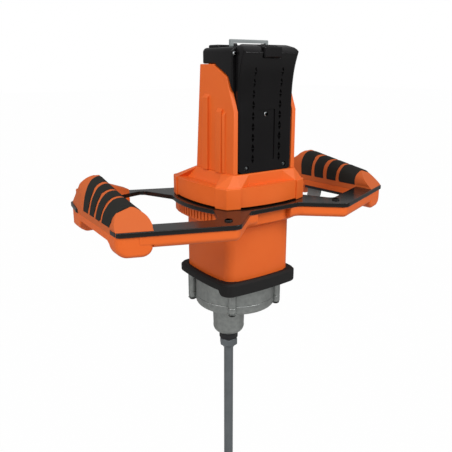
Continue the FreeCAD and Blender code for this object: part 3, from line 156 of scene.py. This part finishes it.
def has_room(edge, width, crowded):
    """Whether a sharp edge has faces wide enough to be rounded, and no crowded point beside it."""
    if len(edge.link_faces) != 2 or edge.calc_face_angle() < SHARP_TURN:
        return False
    start, end = (v.co for v in edge.verts)
    along = (end - start).normalized()
    length = (end - start).length
    for face in edge.link_faces:
        across = [(v.co - start) - along * (v.co - start).dot(along) for v in face.verts]
        if max(a.length for a in across) < ROOM_SHARE * width:
            return False
    for point in crowded:
        foot = start + along * min(max((point - start).dot(along), 0), length)
        if (point - foot).length < ROOM_SHARE * width:
            return False
    return True


def misplaced(mesh, skin, width):
    """Points where a rounding has left the solid's skin or folded over."""
    away = [v.co.copy() for v in mesh.verts if skin.find_nearest(v.co)[3] > STRAY_SHARE * width]
    for face in mesh.faces:
        middle = face.calc_center_median()
        near, normal, index, distance = skin.find_nearest(middle)
        if face.calc_area() > WELD * width and distance < width / 2 and face.normal.dot(normal) < 0:
            away.append(middle)
    return away


def every(edge):
    """The choice of all sharp edges."""
    return True


def rounded(start, width, chosen=every, steps=3, tries=6):
    """A copy of a mesh with its chosen sharp edges rounded over by a width.
    An edge stays sharp where the rounding would stray or fold, as in small slots and corners."""
    skin = BVHTree.FromBMesh(start)
    crowded = []
    for attempt in range(tries):
        mesh = start.copy()
        sharp = [e for e in mesh.edges if chosen(e) and has_room(e, width, crowded)]
        bmesh.ops.bevel(mesh, geom=sharp, offset=width, offset_type="OFFSET", affect="EDGES", segments=steps,
                        profile=0.5, material=-1, clamp_overlap=False, loop_slide=True, miter_outer="ARC")
        faults = misplaced(mesh, skin, width)
        if not faults:
            break
        crowded += faults
    bmesh.ops.remove_doubles(mesh, verts=mesh.verts, dist=WELD)
    return mesh


def eased(node, width, finish, shaped=None, chosen=every):
    """The solid, shaped further where a piece needs it, with its chosen edges eased, in the solid's place."""
    mesh = solid(node)
    if shaped:
        mesh = shaped(mesh)
    mesh = rounded(mesh, width, chosen)
    settle(mesh, node + "_piece", body_of[node], finish, [node])


plate_round = 0.8 * MM
# Gloss black powder coat: near black, with the shallow orange peel of a sprayed and baked film.
powder_coat = mottled_finish(
    "gloss_black_powder_coat", cloud=40 * MM, colours=("#121211", "#191817"), roughness=(0.16, 0.26),
    grain=1.6 * MM, depth=0.02 * MM, IOR=1.5, Specular_IOR_Level=0.4)
eased("frame_plate", plate_round, powder_coat)

# The two plate screws: button heads with a hexagon socket, blackened, one through each front arm.
# They go down through the plate into the channel below it.
SOCKET_SIDES = 6
RIM_POINTS = 24
UP = Vector((0, 0, 1))
# shares of the head's radius
shank_share = 0.56
socket_share = 0.5
# shares of the shank's radius: the tip's radius and the length of its chamfer
tip_share = 0.8
chamfer_share = 0.4
# the head's outline from its seat to its top, as shares of its radius and height, and the socket's floor
dome_shares = ((0.94, 0), (1, 0.12), (1, 0.5), (0.94, 0.8), (0.8, 1))
floor_share = 0.3


def loop(mesh, radius, height, sides=RIM_POINTS):
    """A ring of edges round the screw's axis, cut to the rim's number of points where it has fewer sides.
    Of a cut ring only 18 of the 24 edges are given back, so the socket's mesh stays partly open."""
    made = bmesh.ops.create_circle(mesh, segments=sides, radius=radius,
                                   matrix=Matrix.Translation((0, 0, height)))
    edges = list({e for v in made["verts"] for e in v.link_edges})
    if sides < RIM_POINTS:
        cut = bmesh.ops.subdivide_edges(mesh, edges=edges, cuts=RIM_POINTS // sides - 1)
        edges = list({e for e in cut["geom_inner"] + edges if isinstance(e, bmesh.types.BMEdge)})
        verts = {v for e in edges for v in e.verts}
        edges = list({e for v in verts for e in v.link_edges})
    return edges


def socket_screw(head_r, head_h, length):
    """A screw along +Z from its seat: domed head above with a hexagon socket, plain shank below."""
    mesh = bmesh.new()
    shank_r = shank_share * head_r
    socket_r = socket_share * head_r
    rings = [loop(mesh, shank_r * tip_share, -length), loop(mesh, shank_r, shank_r * chamfer_share - length),
             loop(mesh, shank_r, 0)]
    rings += [loop(mesh, head_r * across, head_h * up) for across, up in dome_shares]
    rings += [loop(mesh, socket_r, head_h * up, SOCKET_SIDES) for up in (1, floor_share)]
    for lower, upper in zip(rings, rings[1:]):
        bmesh.ops.bridge_loops(mesh, edges=lower + upper)
    for end in (rings[0], rings[-1]):
        bmesh.ops.edgeloop_fill(mesh, edges=end)
    bmesh.ops.recalc_face_normals(mesh, faces=mesh.faces)
    return mesh


def facing(axis):
    """The turn that points +Z along an axis."""
    return axis.to_track_quat("Z", "Y").to_matrix().to_4x4()


def lumps(node):
    """The lowest and highest corners of each loose solid in a node."""
    mesh = solid(node)
    left = set(mesh.verts)
    boxes = []
    while left:
        todo = [left.pop()]
        reached = list(todo)
        while todo:
            here = todo.pop()
            near = {e.other_vert(here) for e in here.link_edges} & left
            left -= near
            todo += near
            reached += near
        boxes.append([Vector([pick(v.co[i] for v in reached) for i in range(3)]) for pick in (min, max)])
    mesh.free()
    return boxes


def screw_set(node, axis, head_h, finish):
    """One socket screw for each loose solid of a node, its head at the end that the axis points to."""
    whole = bmesh.new()
    for low, high in lumps(node):
        size = high - low
        along = abs(size.dot(axis))
        # the two sizes across the axis are both the head's width
        head_r = (size.x + size.y + size.z - along) / 4
        seat = (low + high) / 2 + axis * (along / 2 - head_h)
        screw = socket_screw(head_r, head_h, along - head_h)
        screw.transform(Matrix.Translation(seat) @ facing(axis))
        part = bpy.data.meshes.new("screw")
        screw.to_mesh(part)
        screw.free()
        whole.from_mesh(part)
        bpy.data.meshes.remove(part)
    settle(whole, node + "_piece", body_of[node], finish, [node])


button_head = 1.6 * MM
# Black oxide on hardened steel: dark, slightly warm, with a dull oiled gloss.
black_oxide = mottled_finish(
    "black_oxide_steel", cloud=3 * MM, colours=("#2A2A2B", "#3A3938"), roughness=(0.3, 0.42),
    grain=0.6 * MM, depth=0.01 * MM, Metallic=1.0)
screw_set("plate_screws", UP, button_head, black_oxide)

# The vent ring and the motor housing: orange ABS mouldings below the plate.
# The ring's row of slots lets out the fan's air; the housing is a plain bowed square sleeve.
shell_round = 1.2 * MM
slotted_round = 0.5 * MM
spark_grain = 0.9 * MM
# Moulded ABS: an even orange with the fine spark-eroded grain of its mould, drawn coarser to show.
orange_abs = mottled_finish(
    "moulded_orange_abs", cloud=35 * MM, colours=("#DE601F", "#E46A28"), roughness=(0.38, 0.48),
    grain=spark_grain, depth=0.03 * MM, IOR=1.54, Specular_IOR_Level=0.28)
eased("vent_ring", slotted_round, orange_abs)
eased("motor_housing", shell_round, orange_abs)

# The guard belt: a moulded rubber band stretched round the foot of the motor housing.
# It takes the knocks when the mixer is laid down, so its edges are thick and soft.
belt_round = 2.0 * MM
# Moulded rubber: black with a grey bloom, almost without gloss.
bumper_rubber = mottled_finish(
    "moulded_bumper_rubber", cloud=18 * MM, colours=("#131313", "#1A1919"), roughness=(0.6, 0.72),
    grain=1.2 * MM, depth=0.04 * MM, IOR=1.52, Specular_IOR_Level=0.25)
eased("guard_belt", belt_round, bumper_rubber)

# The motor inside the housing: wound stator, rotor, cooling fan and two ball bearings.
# None of it shows when the mixer is whole, so the solids keep their shape.


def coat(nodes, finish):
    """Gives solids of the frame that keep their shape a finish."""
    for node in nodes:
        frame["nodes"][node].data.materials.clear()
        frame["nodes"][node].data.materials.append(finish)


# Varnished laminations: thin steel sheets stacked along the shaft, their edges drawn coarser to show.
sheet_pitch = 1.5 * MM
# Blender's wave bands repeat every pi / 10 of a unit at a scale of 1.
band_period = math.pi / 10
laminations, tree, shader, place = start_finish("varnished_lamination_steel", Metallic=0.8, Roughness=0.45)
sheets = add(tree, "ShaderNodeTexWave", {"Vector": place, "Scale": band_period / sheet_pitch,
                                         "Distortion": 0.4}, bands_direction="Z")
tint = add(tree, "ShaderNodeMix", {0: sheets.outputs[0], 6: linear("#4A443C"), 7: linear("#6B645A")},
           data_type="RGBA")
tree.links.new(tint.outputs[2], shader.inputs["Base Color"])
coat(["stator", "rotor"], laminations)

# Glass-filled nylon: black, matt, with a faint cloudy flow.
black_nylon = mottled_finish(
    "glass_filled_black_nylon", cloud=8 * MM, colours=("#18181A", "#232326"), roughness=(0.45, 0.6),
    grain=0.8 * MM, depth=0.02 * MM, IOR=1.53, Specular_IOR_Level=0.3)
coat(["cooling_fan"], black_nylon)

# Ground bearing steel: bright and even, with a very fine grain.
bearing_steel = mottled_finish(
    "ground_bearing_steel", cloud=2 * MM, colours=("#B9BCBE", "#D2D4D5"), roughness=(0.18, 0.28),
    grain=0.5 * MM, depth=0.005 * MM, Metallic=1.0)
coat(["rotor_bearings"], bearing_steel)

# The gearbox: two aluminium die castings that meet at a machined joint, with four screw pillars.
# The lower one draws in to the nose that holds the spindle's bearings and oil seal.
# A blackened screw in each pillar holds the two together from below.
casting_round = 0.9 * MM
rim_round = 3.0 * MM
rim_reach = 36.0 * MM
rim_height = -133.0 * MM
pillar_head = 2.6 * MM
DOWN = Vector((0, 0, -1))


def on_rim(edge):
    """Whether an outer edge runs round the foot of the cover's bowl."""
    middle = (edge.verts[0].co + edge.verts[1].co) / 2
    return edge.is_convex and middle.z < rim_height and middle.xy.length > rim_reach


def bowled(mesh):
    """Rounds the foot of the cover's bowl."""
    return rounded(mesh, rim_round, on_rim)


# Bead-blasted die casting: mid grey metal with a fine dull sparkle, darker in patches.
die_casting = mottled_finish(
    "blasted_aluminium_casting", cloud=5 * MM, colours=("#7C7F7E", "#ABAEAC"), roughness=(0.3, 0.42),
    grain=1.1 * MM, depth=0.12 * MM, Metallic=0.85)
eased("gearbox_case", casting_round, die_casting)
eased("gearbox_cover", casting_round, die_casting, bowled)
screw_set("gearbox_screws", DOWN, pillar_head, black_oxide)

# The gear train: rotor pinion, lay shaft, output gear and spindle, cut from case-hardened steel.
# It runs in ball bearings in the castings, and the oil seal closes the nose round the spindle.

# Oiled machined steel: grey, smooth, with a faint film of oil.
gear_steel = mottled_finish(
    "oiled_machined_steel", cloud=6 * MM, colours=("#7F8385", "#9B9FA1"), roughness=(0.2, 0.34),
    grain=0.4 * MM, depth=0.008 * MM, Metallic=1.0)
coat(["lay_shaft", "output_gear", "spindle"], gear_steel)
coat(["lay_bearings", "spindle_bearings"], bearing_steel)
coat(["oil_seal"], bumper_rubber)

# The dust collar: a plain black nylon ring, moulded and pressed on the spindle.
# It turns with the spindle just below the nose and throws off splashes.
collar_round = 0.5 * MM
eased("dust_collar", collar_round, black_nylon)

# The paddle rod: drawn steel bar with a forged hexagon and a threaded stud, the paddle welded to its end.
# Two ribbons wind round the rod inside the foot ring.
rod_round = 0.5 * MM
ring_round = 0.6 * MM
ribbon_round = 0.5 * MM
# Drawn bar: dark grey steel with faint lengthwise draw lines under a film of oil.
draw_line = 1.2 * MM
draw_depth = 0.03 * MM
lengthwise_share = 0.03
bar_cloud = 12 * MM
drawn_steel, tree, shader, place = start_finish("drawn_bar_steel", Metallic=0.85)
mottle(tree, shader, place, bar_cloud, ("#676C6F", "#81868A"), (0.34, 0.46))
lengthwise = add(tree, "ShaderNodeMapping", {"Vector": place, "Scale": (1.0, 1.0, lengthwise_share)})
roughen(tree, shader, lengthwise.outputs["Vector"], draw_line, draw_depth)
eased("mixer_rod", rod_round, drawn_steel)
eased("paddle_ring", ring_round, drawn_steel)
eased("paddle_blades", ribbon_round, drawn_steel)

# The upper cap: the orange ring above the plate, an ABS moulding with four corner blocks.
# Between the blocks its sloped shoulder steps back to a ledge.
# The controller lies in it, under the cradle's floor.
FRONT = Vector((0, -1, 0))
BACK = Vector((0, 1, 0))
LEFT = Vector((-1, 0, 0))
RIGHT = Vector((1, 0, 0))
slope_area = 500 * MM * MM
lean_share = 0.1
head_margin = 1.0 * MM
front_ledge = 6.5 * MM
front_facet = 14.9 * MM
side_ledge = 10.4 * MM
side_facet = 6.5 * MM
# the way each side faces, the depth of its ledge, and the run of the facets at the ledge's ends
ledges = [(FRONT, front_ledge, front_facet)] + [(way, side_ledge, side_facet) for way in (BACK, LEFT, RIGHT)]
ring_end = 40.5 * MM
ring_inside = 59.9 * MM


def stepped(mesh):
    """Puts a ledge, an upright wall and two end facets in the place of each side's plain slope."""
    for way, depth, run in ledges:
        slope = next(f for f in mesh.faces if len(f.verts) == 4 and f.calc_area() > slope_area
                     and min(f.normal.z, f.normal.dot(way)) > lean_share)
        along = UP.cross(way)
        middle = slope.calc_center_median().z
        foot_a, foot_b, head_a, head_b = sorted(slope.verts, key=lambda v: (v.co.z > middle, v.co.dot(along)))
        low_a = mesh.verts.new(foot_a.co + along * run - way * depth)
        low_b = mesh.verts.new(foot_b.co - along * run - way * depth)
        length = (head_b.co - head_a.co).length
        reach_a = max((low_a.co - head_a.co).dot(along), head_margin)
        reach_b = max((head_b.co - low_b.co).dot(along), head_margin)
        edge = mesh.edges.get((head_a, head_b))
        top_a = bmesh.utils.edge_split(edge, head_a, reach_a / length)[1]
        edge = mesh.edges.get((top_a, head_b))
        top_b = bmesh.utils.edge_split(edge, head_b, reach_b / (length - reach_a))[1]
        mesh.faces.remove(slope)
        for rim in ((foot_a, top_a, head_a), (foot_a, low_a, top_a), (low_a, low_b, top_b, top_a),
                    (low_b, foot_b, top_b), (foot_b, head_b, top_b), (foot_a, foot_b, low_b, low_a)):
            for edge in mesh.faces.new(rim).edges:
                edge.smooth = False
        bmesh.ops.dissolve_edges(mesh, edges=[mesh.edges.get((foot_a, foot_b))], use_verts=False)
    bmesh.ops.recalc_face_normals(mesh, faces=mesh.faces)
    return mesh


def off_ring(edge):
    """Whether an outer edge lies off the bowed sides of the ring, which stay crisp."""
    spots = [sorted((abs(v.co.x), abs(v.co.y))) for v in edge.verts]
    return edge.is_convex and not any(near < ring_end and far > ring_inside for near, far in spots)


eased("upper_cap", shell_round, orange_abs, stepped, off_ring)
coat(["controller"], black_nylon)

# The battery cradle: an orange ABS tower of two ribbed walls and a back, open to the front and the top.
# It is moulded with draft, and the terminal block stands at its back.
cradle_round = 0.6 * MM
crest_from = 45.6 * MM
crest_lift = 1.4 * MM
wall_x = 44.0 * MM
pillar_r = 2.7 * MM
pillar_y = -34.2 * MM
pillar_foot = 37.0 * MM
pillar_top = 104.0 * MM
top_slope = 2.0


def ribbed(mesh):
    """Lifts the ribs' crests and adds the screw pillar beside each front rib, its top sloped back."""
    for vert in mesh.verts:
        if abs(vert.co.x) > crest_from:
            vert.co.x += math.copysign(crest_lift, vert.co.x)
    for side in (-1, 1):
        middle = Vector((side * wall_x, pillar_y, (pillar_foot + pillar_top) / 2))
        made = bmesh.ops.create_cone(mesh, cap_ends=True, segments=RIM_POINTS, radius1=pillar_r,
                                     radius2=pillar_r, depth=pillar_top - pillar_foot,
                                     matrix=Matrix.Translation(middle))
        for vert in made["verts"]:
            if vert.co.z > middle.z:
                vert.co.z -= top_slope * (abs(vert.co.x) - wall_x)
    return mesh


eased("battery_cradle", cradle_round, orange_abs, ribbed)
coat(["terminal_block"], black_nylon)

# The battery pack: a moulded black ABS case with the cells inside and a swept, vented front.
# Three small screws hold the front on, and one more shows at each upper front corner of the case.
# A shallow raised panel stiffens the top behind the bail.
case_round = 1.6 * MM
face_round = 1.2 * MM
face_half = 38.0 * MM
face_head = 1.6 * MM
flare_low = 96.0 * MM
flare_high = 165.0 * MM
flare_depth = 9.0 * MM
flare_from = -50.2 * MM
flare_rise_power = 2.0
flare_fall_power = 3.3
corner_cuts = 5
# height of a corner's centre, its radius, and the way it turns from the side: down or up
face_corners = ((44.3 * MM, 7.0 * MM, -1), (165.5 * MM, 8.0 * MM, 1))
panel_low = Vector((-36.5, -11.0, 170.0)) * MM
panel_high = Vector((36.5, 6.5, 174.0)) * MM
panel_round = 1.5 * MM
case_head_r = 2.0 * MM
case_head_h = 2.4 * MM
case_shank = 6.0 * MM
case_screw_x = 40.0 * MM
case_screw_y = -46.0 * MM
case_screw_z = 164.5 * MM


def planed(mesh, point, normal):
    """Cuts off what lies beyond a plane and closes the cut."""
    cut = bmesh.ops.bisect_plane(mesh, geom=mesh.verts[:] + mesh.edges[:] + mesh.faces[:], dist=WELD,
                                 plane_co=point, plane_no=normal, clear_outer=True)
    bmesh.ops.holes_fill(mesh, edges=[g for g in cut["geom_cut"] if isinstance(g, bmesh.types.BMEdge)])


def swept(mesh):
    """Draws the front's flare up towards its top and rounds its four corners."""
    for vert in mesh.verts:
        share = (vert.co.z - flare_low) / (flare_high - flare_low)
        if vert.co.y < flare_from and 0 < share < 1:
            vert.co.y += flare_depth * (share ** flare_rise_power - share ** flare_fall_power)
    for side in (-1, 1):
        for height, radius, way in face_corners:
            centre = Vector((side * (face_half - radius), 0, height))
            for i in range(corner_cuts):
                angle = math.pi / 2 * (i + 1) / (corner_cuts + 1)
                out = Vector((side * math.sin(angle), 0, way * math.cos(angle)))
                planed(mesh, centre + out * radius, out)
    return mesh


# Moulded black ABS: deep black, smoother than the shells, so that edges catch the light.
pack_abs = mottled_finish(
    "moulded_black_abs", cloud=30 * MM, colours=("#0E0D0E", "#141314"), roughness=(0.2, 0.28),
    grain=spark_grain, depth=0.015 * MM, IOR=1.54, Specular_IOR_Level=0.22)
eased("pack_case", case_round, pack_abs)
eased("pack_face", face_round, pack_abs, swept)
mesh = bmesh.new()
size = Matrix.Diagonal(panel_high - panel_low).to_4x4()
bmesh.ops.create_cube(mesh, size=1.0, matrix=Matrix.Translation((panel_low + panel_high) / 2) @ size)
settle(rounded(mesh, panel_round), "pack_top_panel", body_of["pack_case"], pack_abs)

# Zinc plate: pale bluish metal with a soft gloss.
zinc_plate = mottled_finish(
    "zinc_plated_steel", cloud=2.5 * MM, colours=("#CDD3D6", "#E8EBEC"), roughness=(0.24, 0.36),
    grain=0.5 * MM, depth=0.01 * MM, Metallic=1.0)
screw_set("pack_screws", FRONT, face_head, zinc_plate)
for side, name in ((-1, "left"), (1, "right")):
    screw = socket_screw(case_head_r, case_head_h, case_shank)
    screw.transform(Matrix.Translation((side * case_screw_x, case_screw_y, case_screw_z)) @ facing(FRONT))
    settle(screw, name + "_case_screw", body_of["pack_case"], zinc_plate)

# Shrink sleeve: thin blue film with a slight gloss, as on bought cells.
shrink_sleeve = mottled_finish(
    "cell_shrink_sleeve", cloud=10 * MM, colours=("#3A5F86", "#456F9A"), roughness=(0.3, 0.42),
    grain=2 * MM, depth=0.02 * MM, IOR=1.5)
coat(["pack_cells"], shrink_sleeve)

# The release button: a small black ABS moulding at the top of the pack's front.
# It is pressed in against a spring to free the pack from the cradle.
button_round = 0.8 * MM
eased("release_button", button_round, pack_abs)

# The pull bail: a light grey nylon loop, moulded in one with the two pins that it turns on.
# It stands up to lift the pack and folds down on its top.
bail_round = 0.9 * MM
# Moulded grey nylon: pale, satin, slightly cool.
grey_nylon = mottled_finish(
    "moulded_grey_nylon", cloud=15 * MM, colours=("#7C8282", "#8C9292"), roughness=(0.4, 0.5),
    grain=0.8 * MM, depth=0.015 * MM, IOR=1.53)
eased("pull_bail", bail_round, grey_nylon)

# The grips: orange ABS shells over the plate, each with four rubber bands moulded in.
# Below the plate each has a moulded base with two feet, screwed up from below.
# An orange channel runs under each front arm of the plate.
grip_round = 1.6 * MM
base_round = 1.0 * MM
band_round = 0.5 * MM
foot_round = 4.5 * MM
foot_root = -13.5 * MM
foot_steps = 5
grip_head = 1.6 * MM


def on_foot(edge):
    """Whether an outer edge belongs to one of a base's two feet."""
    return edge.is_convex and min(v.co.z for v in edge.verts) < foot_root


def footed(mesh):
    """Rounds the feet of a grip base generously."""
    return rounded(mesh, foot_round, on_foot, foot_steps)


# Moulded grip ABS: the same orange with a coarser grain, so duller and a little browner.
grip_abs = mottled_finish(
    "moulded_grip_abs", cloud=35 * MM, colours=("#C45C28", "#CB622C"), roughness=(0.48, 0.58),
    grain=spark_grain, depth=0.04 * MM, IOR=1.54, Specular_IOR_Level=0.25)
# Overmoulded rubber: warm black with a dense fine stipple, no gloss.
grip_rubber = mottled_finish(
    "overmoulded_grip_rubber", cloud=12 * MM, colours=("#1E1D1B", "#272622"), roughness=(0.75, 0.88),
    grain=1.0 * MM, depth=0.06 * MM, IOR=1.52, Specular_IOR_Level=0.2)
for side in ("right", "left"):
    eased(side + "_grip", grip_round, grip_abs)
    eased(side + "_grip_bands", band_round, grip_rubber)
    eased(side + "_grip_base", base_round, orange_abs, footed)
    eased(side + "_arm_cover", grip_round, orange_abs)
screw_set("grip_screws", DOWN, grip_head, zinc_plate)

# The switch under the right grip: a black nylon frame held between the base's feet.
# A grey nylon trigger swings in its slot on a plated steel pin and presses the switch above it.
frame_round = 0.5 * MM
trigger_round = 0.7 * MM
eased("switch_frame", frame_round, black_nylon)
eased("trigger", trigger_round, grey_nylon)
coat(["trigger_pin"], zinc_plate)
coat(["trigger_switch"], black_nylon)

# The studio: a pale floor, a white surround and three large soft lamps.
# The camera stands where the photograph's did; its angles and distance were fitted to the photograph.
floor_half = 20.0
floor_seen_share = 0.99
sky_light = 0.34
white = linear("#FFFFFF")
mesh = bmesh.new()
bmesh.ops.create_grid(mesh, x_segments=1, y_segments=1, size=floor_half,
                      matrix=Matrix.Translation((0, 0, cad_box[0].z)))
sheet = bpy.data.meshes.new("studio_floor")
mesh.to_mesh(sheet)
mesh.free()
floor = bpy.data.objects.new("studio_floor", sheet)
bpy.context.scene.collection.objects.link(floor)
# Painted floor: pale and matt, shown white to the camera but for a trace of the shadow.
pale_grey = linear("#C4C4C2")
floor_paint, tree, shader, place = start_finish("white_floor_paint", Roughness=0.9, Base_Color=pale_grey)
floor.data.materials.append(floor_paint)
path = add(tree, "ShaderNodeLightPath", {})
glow = add(tree, "ShaderNodeEmission", {"Color": white, "Strength": 1.0})
seen = add(tree, "ShaderNodeMath", {0: path.outputs["Is Camera Ray"], 1: floor_seen_share},
           operation="MULTIPLY")
mixed = add(tree, "ShaderNodeMixShader", {0: seen.outputs[0], 1: shader.outputs[0], 2: glow.outputs[0]})
tree.links.new(mixed.outputs[0], tree.nodes["Material Output"].inputs["Surface"])

studio = bpy.data.worlds.new("white_studio")
bpy.context.scene.world = studio
studio.use_nodes = True
tree = studio.node_tree
path = add(tree, "ShaderNodeLightPath", {})
seen = add(tree, "ShaderNodeMath", {0: path.outputs["Is Camera Ray"], 1: path.outputs["Is Transmission Ray"]},
           operation="MAXIMUM")
level = add(tree, "ShaderNodeMapRange", {"Value": seen.outputs[0], "To Min": sky_light, "To Max": 1.0})
tree.links.new(level.outputs["Result"], tree.nodes["Background"].inputs["Strength"])
tree.nodes["Background"].inputs["Color"].default_value = white

frame_pixels = 452
focal_pixels = 550
camera_turn = math.radians(-35.71)
camera_drop = math.radians(16.21)
camera_place = Vector((-13.8, -38.3, 674.3)) * MM
camera = bpy.data.objects.new("camera", bpy.data.cameras.new("camera"))
bpy.context.scene.collection.objects.link(camera)
camera.data.lens = camera.data.sensor_width * focal_pixels / frame_pixels
stand = Matrix.Rotation(camera_turn, 4, "Z") @ Matrix.Rotation(math.pi / 2 - camera_drop, 4, "X")
camera.matrix_world = stand @ Matrix.Translation(camera_place)
bpy.context.scene.camera = camera

# each lamp's place in the camera's axes and its width, in metres, and its power in watts
lamps = {
    "right": ((1.5, 0.6, 1.2), 1.2, 21.0),
    "front": ((0.2, 1.0, 1.9), 1.2, 16.0),
    "left": ((-2.1, 0.9, 2.1), 1.8, 45.0),
}
for name, (towards, width, power) in lamps.items():
    lamp = bpy.data.objects.new(name + "_lamp", bpy.data.lights.new(name + "_lamp", "AREA"))
    lamp.data.shape = "DISK"
    lamp.data.size = width
    lamp.data.energy = power
    spot = stand.to_3x3() @ Vector(towards)
    lamp.matrix_world = Matrix.Translation(spot) @ facing(spot)
    bpy.context.scene.collection.objects.link(lamp)

bpy.context.scene.view_settings.view_transform = "Standard"
